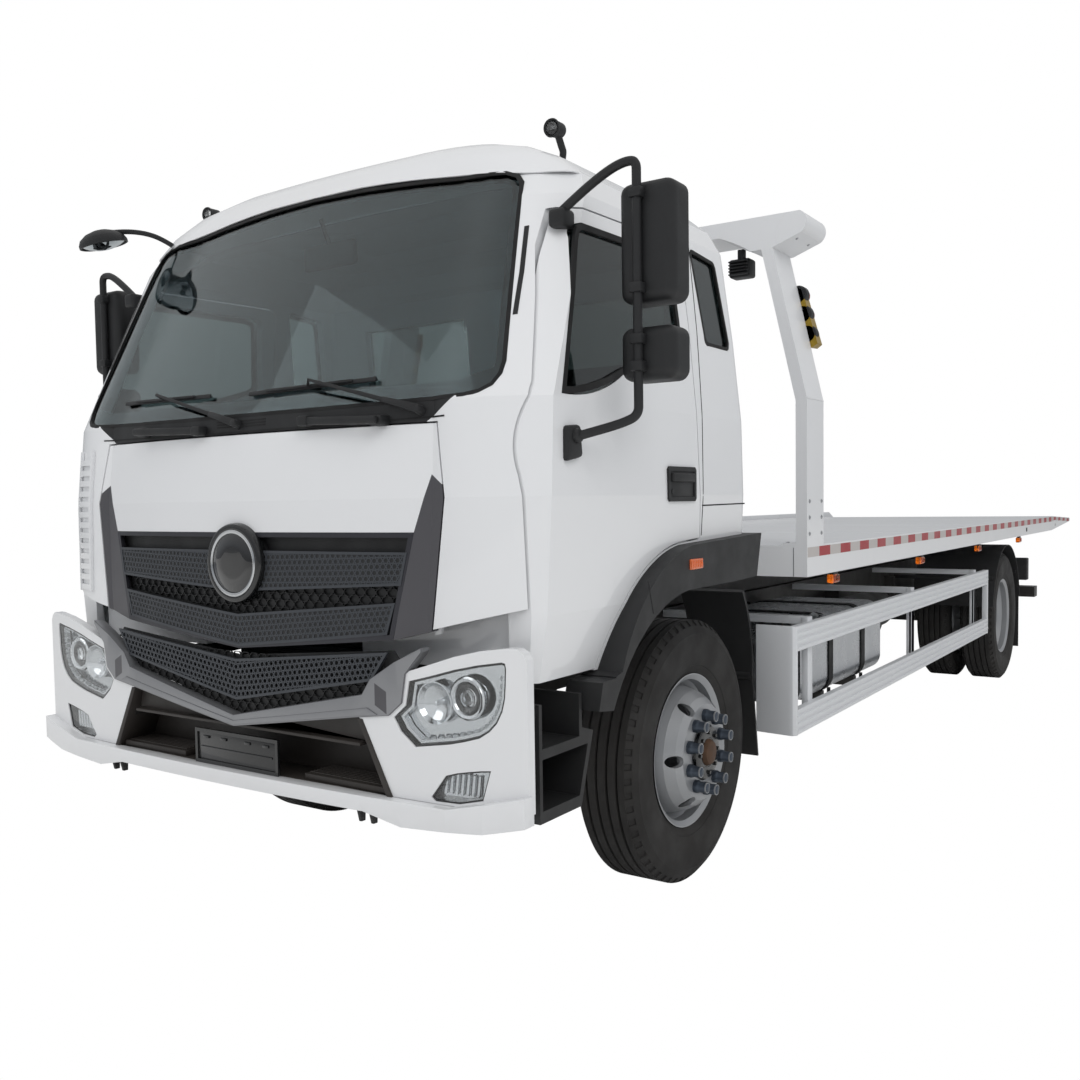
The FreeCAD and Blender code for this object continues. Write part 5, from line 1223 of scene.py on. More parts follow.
def seam(points: Points, width: float, way: Rule, plane: str = "front",
         depth: float = 1.2) -> Shape:
    """Narrow dark line on a panel, such as a joint between two panels.

    Args:
        points: Points of the line in its plane.
        width: Width of the line.
        way: Rule that lays it on the panel.
        plane: Plane in which the points are given.
        depth: Thickness of the strip.

    Returns:
        The strip.
    """
    made = Shape()
    for (a0, b0), (a1, b1) in zip(points, points[1:]):
        length = math.hypot(a1 - a0, b1 - b0)
        da, db = (b1 - b0) / length * width / 2, -(a1 - a0) / length * width / 2
        made.add(sheet([(a0 + da, b0 + db), (a1 + da, b1 + db), (a1 - da, b1 - db), (a0 - da, b0 - db)], plane))
    step = 40
    made.slices(1 if plane == "front" else 0, step).slices(2, step)
    return made.bend(way).thicken(depth, BACKWARD if plane == "front" else RIGHT)


@dataclass
class Screen:
    """Windscreen with its printed border and seal, wipers, grab handles and the intake slots below."""

    half: Points = (
        (0, 1787), (300, 1788), (600, 1792), (900, 1800), (950, 1809), (985, 1828), (1003, 1862), (1005, 1900),
        (958, 2180), (912, 2450), (903, 2485), (880, 2512), (835, 2530), (500, 2558), (250, 2573), (0, 2580))
    wiper_arms: Points = (
        ((1320, -9, 1756), (1262, -484, 1889)),
        ((1269, 750, 1761), (1278, 316, 1880)))
    wiper_blades: Points = (
        ((1222, -755, 1880), (1276, -195, 1868)),
        ((1284, 13, 1860), (1250, 559, 1872)))
    handles: Points = (((-554, 1757), (-182, 1744)), ((302, 1751), (628, 1738)))

    def outline(self) -> list[Pair]:
        """The whole outline of the glass."""
        return whole(self.half)

    def glass(self) -> Shape:
        """Curved laminated glass."""
        return sheet(self.outline()).laid(on_cab(-9), 6, 60, 60)

    def border(self) -> Shape:
        """Black printed border behind the glass's edge, wider at the bottom."""
        made = ring(self.outline(), 34).laid(on_cab(-16), 2, 60, 60)
        low = sheet([(-960, 1806), (960, 1806), (975, 1880), (860, 1848), (0, 1838), (-860, 1848), (-975, 1880)])
        return made.add(low.laid(on_cab(-16), 2))

    def seal(self) -> Shape:
        """Black rubber seal round the glass."""
        grown = [(y * 1.006, 2185 + (z - 2185) * 1.014) for y, z in self.outline()]
        return ring(grown, 12).laid(on_cab(1), 12, 60, 60)

    def wipers(self) -> Shape:
        """Two wipers: pivot cap, tapered arm, hooked end, bridge and blade."""
        made = Shape()
        for (pivot, elbow), (tip, root) in zip(self.wiper_arms, self.wiper_blades):
            foot = Vector(pivot)
            foot.x = cab_front(foot.y, foot.z)
            out = Vector((0.96, 0, 0.28))
            start, end = foot + out * 22, Vector(elbow) + out * 12
            made.add(rod(foot - out * 20, foot + out * 30, 17, 13, 20, 3))
            made.add(beam(start, start.lerp(end, 0.3), 26, 16, out, 4, 0.75))
            made.add(beam(start.lerp(end, 0.28), end, 14, 9, out, 2, 0.7))
            low, high = Vector(tip), Vector(root)
            for vert in (low, high):
                vert.x = cab_front(vert.y, vert.z) + 4
            middle = low.lerp(high, 0.5)
            made.add(beam(end, middle + out * 12, 11, 8, out, 2))
            made.add(beam(low.lerp(high, 0.16) + out * 10, low.lerp(high, 0.84) + out * 10, 9, 7, out, 2))
            made.add(beam(low, high, 15, 7, out, 2))
            made.add(beam(low - out * 5, high - out * 5, 3.5, 8, out))
        return made

    def grab_handles(self) -> Shape:
        """Two black grab handles on the cowl, each with a foot at both ends."""
        made = Shape()
        for (y0, z0), (y1, z1) in self.handles:
            front = cab_front((y0 + y1) / 2, z0)
            made.add(beam((front + 34, y0, z0), (front + 34, y1, z1), 27, 22, FORWARD, 9))
            for y, z in ((y0 + 16, z0), (y1 - 16, z1)):
                skin = cab_front(y, z)
                made.add(block((skin - 20, y - 24, z - 17), (skin + 38, y + 24, z + 17), 9))
        return made

    def cowl_lines(self) -> Shape:
        """Intake slots across the cowl, and its lower edge."""
        made = seam([(-840, 1742), (-400, 1735), (0, 1732), (400, 1735), (840, 1742)], 5, on_cab(1.5))
        for row in range(3):
            z = 1752 + row * 9
            made.add(seam([(-120, z), (0, z - 1), (120, z)], 4, on_cab(1.2)))
        return made

    def inner_mirror(self) -> Shape:
        """Rounded mirror inside the screen, on a stalk from the header."""
        made = block((850, -130, 2350), (872, 130, 2440), 10, 3)
        return made.add(rod((862, 0, 2430), (905, 0, 2520), 8))

    def build(self) -> None:
        """Makes every piece of the screen."""
        made = self.glass().piece("windscreen_glass", [Clear.SCREEN], "cab", "glass_tinted", 60)
        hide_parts("windscreen")
        self.border().piece("screen_border", [Paint.GLOSS_BLACK], "cab", "dark_plastic", 60)
        self.seal().piece("screen_seal", [Paint.SEAL], "cab", "rubber_black", 60)
        self.wipers().piece("wipers", [Paint.PLASTIC], "cab", "dark_plastic")
        self.grab_handles().piece("grab_handles", [Paint.PLASTIC], "cab", "dark_plastic")
        self.cowl_lines().piece("cowl_lines", [Paint.SEAL], "cab", "dark_plastic")
        self.inner_mirror().piece("inner_mirror", [Paint.PLASTIC], "cab", "dark_plastic")


@dataclass
class Roof:
    """Domed roof skin over the shell, roof lamps on stalks and the proximity mirror."""

    stations: Points = (
        (2590, 935, 960, -185), (2650, 895, 835, -145), (2700, 825, 690, -80), (2732, 715, 520, 0),
        (2748, 560, 360, 120), (2754, 420, 190, 220))
    foot: Quad = (2520, 964, 1042.5, -206.2)
    rear_corner: float = 70
    lamp: Triple = (675, 875, 2726)
    lamp_aim: Triple = (1, 0, -0.08)
    mirror_head: Triple = (1065, -1085, 2575)
    mirror_lean: Triple = (0.25, -0.1, 1)

    def plan(self, front: float, half: float, rear: float) -> list[Pair]:
        """Left half of the roof's plan at one height, from the front middle to the rear middle.

        Args:
            front: Front at the middle.
            half: Half width.
            rear: Rear wall's place.

        Returns:
            The outline's places from above.
        """
        turn_y = half - min(CORNER_WIDTH, half / 2)
        turn_x = front - turn_y * turn_y / FACE_SAG
        side_x = turn_x - CORNER_DEPTH
        radius = self.rear_corner
        points = [(front - (turn_y * k / 6) ** 2 / FACE_SAG, turn_y * k / 6) for k in range(6)]
        for k in range(9):
            angle = math.radians(90 * k / 8)
            points.append((turn_x - CORNER_DEPTH * (1 - math.cos(angle)), turn_y + (half - turn_y) * math.sin(angle)))
        points += [(side_x + (rear + radius - side_x) * k / 8, half) for k in range(1, 9)]
        for k in range(1, 5):
            angle = math.radians(90 * k / 4)
            points.append((rear + radius - radius * math.sin(angle), half - radius * (1 - math.cos(angle))))
        return points + [(rear, (half - radius) * (1 - k / 6)) for k in range(1, 7)]

    def skin(self) -> Shape:
        """Roof skin whose lower front edge follows the top of the windscreen."""
        made = Shape()
        loops = []
        for index, (z, front, half, rear) in enumerate([self.foot, *self.stations]):
            left = self.plan(front, half, rear)
            loop = left + [(x, -y) for x, y in reversed(left[1:-1])]
            verts = []
            for x, y in loop:
                height = z
                if index == 0 and x > 700 and abs(y) < 900:
                    height = min(2588, 2592 - 62 * (abs(y) / 835) ** 2)
                    x = cab_front(y, height) + 1.5
                verts.append(made.mesh.verts.new((x, y, height)))
            loops.append([made.mesh.edges.new((a, b)) for a, b in zip(verts, verts[1:] + verts[:1])])
        for low, high in zip(loops, loops[1:]):
            bmesh.ops.bridge_loops(made.mesh, edges=low + high)
        bmesh.ops.contextual_create(made.mesh, geom=loops[-1])
        made.outward()
        top = max(made.mesh.faces, key=lambda face: face.calc_center_median().z)
        if top.normal.z < 0:
            bmesh.ops.reverse_faces(made.mesh, faces=made.mesh.faces[:])
        return made.shell(4)

    def lamps(self) -> Shape:
        """Two round lamps on curved stalks."""
        x, y, z = self.lamp
        made = rod((x - 25, y, z), (x + 26, y, z - 4), 25, 28, 32, 6)
        bezel = [(20, 0), (29, 0), (31, 6), (29, 12), (26, 8), (20, 4)]
        made.add(lathe(bezel, (x + 24, y, z - 4), self.lamp_aim, 32))
        stalk = [(x - 75, y - 30, z - 88), (x - 55, y - 8, z - 62), (x - 30, y, z - 52), (x - 4, y, z - 10)]
        made.add(tube(stalk, 12))
        made.add(block((x - 100, y - 62, z - 120), (x - 50, y - 12, z - 76), 12, 3))
        return made.both()

    def lamp_glasses(self) -> Shape:
        """Domed glass of the roof lamps."""
        x, y, z = self.lamp
        dome = [(0.1, 13), (12, 12), (22, 8), (25, 2), (0.1, 2)]
        return lathe(dome, (x + 24, y, z - 4), self.lamp_aim, 32).both()

    def proximity_mirror(self) -> Shape:
        """Domed cap of the proximity mirror on its bent arm."""
        x, y, z = self.mirror_head
        bent_arm = [(850, -880, 2545), (900, -905, 2580), (960, -950, 2605), (1020, -1030, 2612), (x, y, z + 26)]
        cap = [(0.1, 40), (30, 37), (62, 26), (86, 8), (95, -10), (95, -22), (90, -24), (88, -14), (0.1, -14)]
        return tube(bent_arm, 10).add(lathe(cap, (x, y, z), self.mirror_lean, 48))

    def proximity_glass(self) -> Shape:
        """Convex mirror glass under the cap."""
        x, y, z = self.mirror_head
        dome = [(0.1, -40), (34, -36), (62, -28), (86, -16), (86, -14), (0.1, -14)]
        return lathe(dome, (x, y, z), self.mirror_lean, 48)

    def build(self) -> None:
        """Makes the roof's pieces."""
        self.skin().piece("roof_skin", [Paint.WHITE], "cab", "white_paint", 50)
        stalks = self.lamps().add(self.proximity_mirror())
        made = stalks.piece("roof_lamp_stalks", [Paint.PLASTIC], "cab", "dark_plastic")
        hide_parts("roof_lamps")
        self.lamp_glasses().piece("roof_lamp_glasses", [Clear.LENS], "cab", "lamp_clear", 60)
        self.proximity_glass().piece("proximity_glass", [Paint.MIRROR], "cab", "polished_steel", 60)


@dataclass
class DoorFittings:
    """Mirror arm with both mirrors, the handle in its cup, and the window's frame, on each door."""

    tube_place: Pair = (920, 1310)
    mirror_y: Pair = (1236, 1421)
    rear: float = 803
    heads: Points = ((2070, 2425), (1840, 2000))
    window: Points = (
        (1080, 1800), (930, 2290), (912, 2325), (880, 2340), (330, 2352), (292, 2340), (278, 2300), (262, 2060),
        (270, 2028), (300, 2010), (500, 1950), (700, 1890), (800, 1852), (900, 1825), (1000, 1806))

    def arm(self) -> Shape:
        """Bent arm from the door's top to its foot."""
        x, y = self.tube_place
        made = tube([(948, 1035, 2345), (940, 1120, 2405), (928, 1215, 2462), (x, y - 40, 2482), (x, y, 2478),
                     (x, y, 2430), (x, y, 2200), (x, y, 1980), (x, y, 1790), (x, y, 1735), (x + 30, y - 40, 1712),
                     (1005, 1215, 1690), (1046, 1160, 1672)], 14, 10)
        made.add(block((905, 1030, 2315), (975, 1090, 2372), 14, 3))
        return made

    def housings(self) -> Shape:
        """Mirror housings, domed to the front, with a raised lip at the back and clamps on the tube."""
        y0, y1 = self.mirror_y
        made = Shape()
        for z0, z1 in self.heads:
            body = block((self.rear, y0, z0), (self.rear + 104, y1, z1))
            edges = [edge for edge in body.mesh.edges if min(v.co.x for v in edge.verts) > self.rear + 1
                     or abs(edge.verts[0].co.x - edge.verts[1].co.x) > 1]
            made.add(body.bevelled(edges, 34, 5))
            x, y = self.tube_place
            for z in (z0 + 40, z1 - 40):
                made.add(block((x - 24, y - 22, z - 16), (x + 20, y + 22, z + 16), 8))
        return made

    def foot(self) -> Shape:
        """Foot of the arm on the door."""
        made = prism([(1000, 1615), (1085, 1600), (1080, 1705), (1012, 1712)], 1128, 1168, "side", 12)
        return made.add(rod((1042, 1160, 1676), (1042, 1182, 1676), 24, 20, 24, 4))

    def glasses(self) -> Shape:
        """Mirror glasses at the back of the housings."""
        y0, y1 = self.mirror_y
        made = Shape()
        for z0, z1 in self.heads:
            plate = block((self.rear - 2.5, y0 + 13, z0 + 13), (self.rear + 2, y1 - 13, z1 - 13))
            edges = [edge for edge in plate.mesh.edges if abs(edge.verts[0].co.x - edge.verts[1].co.x) > 1]
            made.add(plate.bevelled(edges, 18, 4, False))
        return made

    def handle(self) -> Shape:
        """Black handle: rounded plate, hollow cup and the pull bar over it."""
        plate = [(213, 1488), (223, 1478), (419, 1478), (429, 1488), (429, 1590), (419, 1600), (223, 1600),
                 (213, 1590)]
        made = ring(plate, 16, "side").move(0, 1157).thicken(14, RIGHT)
        made.add(prism(plate, 1143, 1146, "side"))
        made.add(block((232, 1148, 1546), (410, 1166, 1578), 7, 3))
        made.add(rod((398, 1150, 1512), (398, 1157, 1512), 9))
        return made

    def window_frame(self) -> Shape:
        """Black seal and channel round the door's window."""
        return ring(self.window, 20, "side").slices(2, 40).bend(on_side(1.5)).thicken(10, RIGHT)

    def build(self) -> None:
        """Makes the fittings of both doors."""
        for side, body in (("left", "door_left"), ("right", "door_right")):
            black = self.arm().add(self.housings()).add(self.foot()).add(self.handle())
            glass = self.glasses()
            seal = self.window_frame()
            if side == "right":
                black, glass, seal = black.mirrored(), glass.mirrored(), seal.mirrored()
            made = black.piece(f"mirror_arm_and_handle_{side}", [Paint.PLASTIC], body, "dark_plastic", 40)
            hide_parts(f"door_fittings_{side}")
            glass.piece(f"mirror_glasses_{side}", [Paint.MIRROR], body, "polished_steel")
            seal.piece(f"door_window_seal_{side}", [Paint.SEAL], body, "rubber_black", 60)


@dataclass
class CabTrim:
    """Joints between the cab's panels, arch trims, pillar slots, side markers and the far corner's vent."""

    quarter: Points = (
        (90, 2408), (110, 2402), (116, 2380), (66, 2085), (55, 2064), (30, 2058), (-130, 2058), (-150, 2066),
        (-158, 2090), (-102, 2375), (-92, 2390), (-70, 2396))

    def joints(self) -> Shape:
        """Dark lines where the outer panels meet."""
        side = on_side(0.6)
        made = Shape().add(seam([(118, 2430), (128, 1960), (141, 1560), (150, 1352)], 5, side, "side"))
        made.add(seam([(150, 1462), (-240, 1466)], 5, side, "side"))
        return made.both()

    def pillar_slots(self) -> Shape:
        """Black slot in each windscreen pillar."""
        return seam([(1000, 2040), (985, 2180), (962, 2330)], 13, on_cab(1.5), "front", 3).both()

    def window_seals(self) -> Shape:
        """Black seals of the quarter windows."""
        return ring(self.quarter, 13, "side").slices(2, 40).bend(on_side(1.0)).thicken(8, RIGHT).both()

    def markers(self) -> Shape:
        """Amber lamps on the arch trims, with a ribbed lens."""
        made = block((262, 1192, 1238), (362, 1206, 1276), 5, 3)
        for x in range(272, 360, 14):
            made.add(block((x, 1204, 1244), (x + 5, 1208, 1270), 1.5, 1))
        return made.both()

    def arch_lines(self) -> Shape:
        """Split line and rolled inner edge of the arch trims."""
        made = seam([(668, 1222), (632, 1112)], 4, lambda co: Vector((co.x, 1200.8, co.z)), "side")
        return made.both()

    def vent(self) -> Shape:
        """Pale ribbed vent on the far front corner."""
        made = Shape()
        for row in range(13):
            z = 1180 + row * 40
            made.add(seam([(-905, z), (-1000, z)], 22, on_cab(10), "front", 9))
        for y in (-900, -1005):
            made.add(seam([(y, 1165), (y, 1705)], 12, on_cab(12), "front", 12))
        return made

    def build(self) -> None:
        """Makes the trim."""
        self.joints().piece("panel_joints", [Paint.SEAL], "cab", "rubber_black", 60)
        self.pillar_slots().piece("pillar_slots", [Paint.PLASTIC], "cab", "dark_plastic", 60)
        self.window_seals().piece("quarter_window_seals", [Paint.SEAL], "cab", "rubber_black", 60)
        self.markers().piece("arch_markers", [Paint.AMBER_PLATE], "cab", "lamp_red")
        self.arch_lines().piece("arch_trim_lines", [Paint.SEAL], "cab", "rubber_black")
        self.vent().piece("corner_vent", [Paint.WHITE], "cab", "white_paint", 60)


@dataclass
class Wheels:
    """Tyres with their tread, nut caps and hub caps."""

    radius: float = 508
    half: float = 127
    bead: float = 284.5
    grooves: Numbers = (-62, -21, 21, 62)
    steps: int = 120
    groove_depth: float = 14
    studs: int = 10
    stud_circle: float = 142.9
    hub_bolts: int = 8
    hub_circle: float = 78
    front_y: float = 915
    front_stud_y: float = 1080
    front_hub_y: float = 1092
    rear_outer_y: float = 1060
    rear_inner_y: float = 730
    rear_stud_y: float = 907
    rear_hub_y: float = 1035

    def section(self) -> list[Pair]:
        """Closed half section of the tyre: radius and place across."""
        w = self.half
        side = [(self.bead, 91), (292, 95), (304, 99), (318, 108), (330, 112), (332, 115), (342, 118), (372, 124),
                (405, w), (433, w), (452, 124.5), (456, 125.5), (460, 123.5), (478, 117), (486, 113),
                (self.radius, 94)]
        floor = self.radius - self.groove_depth
        crown = []
        for place in reversed(self.grooves):
            crown += [(self.radius, place + 5.5), (floor, place + 3.5), (floor, place - 3.5),
                      (self.radius, place - 5.5)]
        return [(r, -o) for r, o in side] + crown[::-1] + side[::-1]

    def tyre(self, x: float, y: float) -> Shape:
        """One tyre with grooves round it and notches in its shoulders.

        Args:
            x: Its axle's place.
            y: Middle of the tyre.

        Returns:
            The tyre.
        """
        made = lathe(self.section(), (x, y, AXLE_Z), LEFT, self.steps)
        notched = []
        for face in made.mesh.faces:
            middle = face.calc_center_median()
            radius = math.hypot(middle.x - x, middle.z - AXLE_Z)
            turn = math.atan2(middle.z - AXLE_Z, middle.x - x) / math.tau * self.steps
            if 490 < radius < 505 and 96 < abs(middle.y - y) < 112 and int(turn + self.steps) % 2:
                notched.append(face)
        bmesh.ops.inset_individual(made.mesh, faces=notched, thickness=3.2, depth=-5)
        return made

    def caps(self, x: float, face: float, side: float) -> Shape:
        """Ring of nut caps, each with a collar and a chamfered end.

        Args:
            x: Its axle's place.
            face: Place of the disc that the nuts sit on.
            side: 1 on the left, -1 on the right.

        Returns:
            All caps of one wheel.
        """
        made = Shape()
        profile = [(0.1, 55), (13, 55), (18, 52), (20.6, 46), (20.6, 22), (22, 20), (25, 12), (25, 0), (0.1, 0)]
        for index in range(self.studs):
            angle = math.tau * (index + 0.5) / self.studs
            centre = (x + self.stud_circle * math.cos(angle), face, AXLE_Z + self.stud_circle * math.sin(angle))
            made.add(lathe(profile, centre, (0, side, 0), 16))
        return made

    def hub(self, x: float, face: float, side: float) -> Shape:
        """Black hub face with its cap and bolts.

        Args:
            x: Its axle's place.
            face: Place of the hub's face.
            side: 1 on the left, -1 on the right.

        Returns:
            The hub's face.
        """
        made = lathe([(0.1, 3), (56, 3), (58, 5), (92, 5), (103, 1), (105, -10), (0.1, -10)],
                     (x, face, AXLE_Z), (0, side, 0), 48)
        bolt = [(0.1, 9), (7, 9), (8, 7), (8, 0), (0.1, 0)]
        for index in range(self.hub_bolts):
            angle = math.tau * index / self.hub_bolts
            reach, rise = self.hub_circle * math.cos(angle), self.hub_circle * math.sin(angle)
            made.add(lathe(bolt, (x + reach, face + side * 4, AXLE_Z + rise), (0, side, 0), 6))
        return made

    def cap(self, x: float, face: float, side: float) -> Shape:
        """Domed cap in the middle of the hub, with surface rust."""
        dome = [(0.1, 24), (28, 23), (44, 18), (50, 10), (53, 2), (0.1, 2)]
        return lathe(dome, (x, face, AXLE_Z), (0, side, 0), 40)

    def hub_set(self, name: str, x: float, side: float, hub_y: float, stud_y: float) -> None:
        """Makes a wheel's hub face with its nut caps and its rusty cap.

        Args:
            name: Which wheel, such as "front_left".
            x: Its axle's place.
            side: 1 on the left, -1 on the right.
            hub_y: Distance of the hub's face from the middle.
            stud_y: Distance of the disc that the nuts sit on.
        """
        made = self.hub(x, side * hub_y, side).add(self.caps(x, side * stud_y, side), 1)
        made.add(self.cap(x, side * hub_y, side), 2)
        body = f"wheel_{name}" if name.startswith("front") else f"wheels_{name}"
        made.piece(f"hub_{name}", [Paint.GLOSS_BLACK, Paint.ZINC, Paint.RUST], body, "black_steel")

    def build(self) -> None:
        """Makes the wheels' pieces on the bodies that turn."""
        for name, sign in (("left", 1), ("right", -1)):
            tyre = self.tyre(0, sign * self.front_y)
            made = tyre.piece(f"tyre_front_{name}", [Paint.RUBBER], f"wheel_front_{name}", "rubber_black", 28)
            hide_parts(f"front_tyre_{name}")
            self.hub_set(f"front_{name}", 0, sign, self.front_hub_y, self.front_stud_y)
            for number, y in (("outer", self.rear_outer_y), ("inner", self.rear_inner_y)):
                made = self.tyre(REAR_AXLE_X, sign * y).piece(
                    f"tyre_rear_{name}_{number}", [Paint.RUBBER], f"wheels_rear_{name}", "rubber_black", 28)
                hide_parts(f"rear_tyres_{name}")
            self.hub_set(f"rear_{name}", REAR_AXLE_X, sign, self.rear_hub_y, self.rear_stud_y)


@dataclass
class BedDress:
    """Reflective strip, stop rail, seams, side lamps and bolts of the sliding bed, and the winch's rope."""

    front: float = -676
    pitch: float = 145
    tail: float = -8560
    half: float = 1250
    rail_top: float = 1272
    tail_start: float = -7380
    tail_fall: float = 0.0335
    lamp_places: Numbers = (-1143, -2705, -4300, -5900)
    drum_x: float = -1025
    drum_z: float = 1425

    def drop(self, x: float) -> float:
        """How much lower the rail's top is at a place on the tail."""
        return max(0.0, self.tail_start - x) * self.tail_fall

    def strip(self) -> tuple[Shape, Shape]:
        """Pale and red blocks of the reflective strip, in this order."""
        colours = (Shape(), Shape())
        x = self.front
        index = 0
        while x > self.tail:
            top = self.rail_top
            low = self.drop(x)
            height = 43 if x > self.tail_start else 30
            corner = (max(x - self.pitch, self.tail), self.half - 0.5, top - height - low)
            colours[index % 2].add(block(corner, (x, self.half + 0.8, top - low)))
            x -= self.pitch
            index += 1
        return colours

    def stop_rail(self) -> Shape:
        """Low rail along the far side with its joints and bolts."""
        side_view = [(-930, 1276), (-930, 1322), (-8300, 1322), (-8500, 1242), (-7380, 1276)]
        made = prism(side_view, -self.half, 8 - self.half, "side", 2)
        x = -1100.0
        while x > -8200:
            made.add(rod((x, -1243, 1302), (x, -1238, 1302), 8, 7, 10))
            x -= 350
        for x in (-2600, -4200, -5600, -6710):
            made.add(block((x - 30, -1243, 1280), (x + 30, -1237, 1318), 2))
        return made

    def deck_plates(self) -> Shape:
        """Joints between the deck's plates."""
        made = Shape()
        for x in (-2400, -4100, -5800):
            made.add(block((x - 3, -1190, 1279.2), (x + 3, 1190, 1280.8)))
        return made

    def slot_shade_patches(self) -> Shape:
        """Black patches on the tie slots in the side rail: painted shade inside the slots."""
        made = block((-6040, self.half - 2, 1175), (-5985, self.half + 1, 1208))
        made.add(block((-7600, self.half - 2, 1180), (-7585, self.half + 1, 1205)))
        return made.both()

    def corner_fold_shading(self) -> Shape:
        """Grey silver strip along the folded edge of the front beam at each corner: painted shade of the fold."""
        made = block((-672, 1188, 1146), (-669, 1191, 1271))
        return made.both()

    def side_lamps(self) -> Shape:
        """Amber side lamps under the rail, each on a small foot."""
        made = Shape()
        for x in self.lamp_places:
            made.add(block((x - 48, 1190, 1086), (x + 48, 1222, 1128), 7, 3))
            for rib in range(5):
                made.add(block((x - 38 + rib * 16, 1221, 1094), (x - 32 + rib * 16, 1224, 1120), 1.2, 1))
        return made.both()

    def lamp_feet(self) -> Shape:
        """Black feet of the side lamps."""
        made = Shape()
        for x in self.lamp_places:
            made.add(block((x - 30, 1196, 1124), (x + 30, 1218, 1147), 3))
        return made.both()

    def rope(self) -> Shape:
        """Turns of wire rope on the winch's drum."""
        made = Shape()
        turn = [(85, -9), (88, -9), (94, -4), (95, 0), (94, 4), (88, 9), (85, 9)]
        for index in range(26):
            made.add(lathe(turn, (self.drum_x, -232 + index * 18.5, self.drum_z), LEFT, 40))
        return made

    def winch_dress(self) -> Shape:
        """Flanges of the winch's drum, and its gear case with bolts."""
        x, z = self.drum_x, self.drum_z
        made = Shape()
        for y in (244, -252):
            made.add(lathe([(60, 0), (128, 0), (132, 4), (128, 8), (60, 8)], (x, y, z), LEFT, 48))
        made.add(lathe([(0.1, 70), (70, 70), (92, 55), (98, 20), (98, 0), (0.1, 0)], (x, -271, z), RIGHT, 40))
        for index in range(8):
            angle = math.tau * index / 8
            reach, rise = 80 * math.cos(angle), 80 * math.sin(angle)
            made.add(rod((x + reach, -341, z + rise), (x + reach, -320, z + rise), 7, 7, 6))
        return made

    def build(self) -> None:
        """Makes the bed's pieces."""
        pale, red = self.strip()
        pale.both().piece("reflective_strip_pale", [Paint.WHITE_TAPE], "bed", "bed_white")
        red.both().piece("reflective_strip_red", [Paint.RED_TAPE], "bed", "lamp_red")
        self.stop_rail().piece("stop_rail", [Paint.POWDER], "bed", "bed_white")
        self.deck_plates().piece("deck_joints", [Paint.POWDER], "bed", "bed_white")
        # Black patches paint the shade inside the rail's tie slots.
        self.slot_shade_patches().piece("rail_slot_shade", [Paint.SEAL], "bed", "black_steel")
        # A silver strip paints the shade of each corner fold on the white beam.
        self.corner_fold_shading().piece("rail_corner_fold_shading", [Paint.TRIM], "bed", "bed_white")
        self.side_lamps().piece("side_lamps", [Clear.AMBER], "bed", "lamp_red")
        self.lamp_feet().piece("side_lamp_feet", [Paint.PLASTIC], "bed", "dark_plastic")
        self.rope().piece("winch_rope", [Paint.WIRE], "bed", "polished_steel")
        self.winch_dress().piece("winch_flanges", [Paint.CHASSIS], "bed", "black_steel")


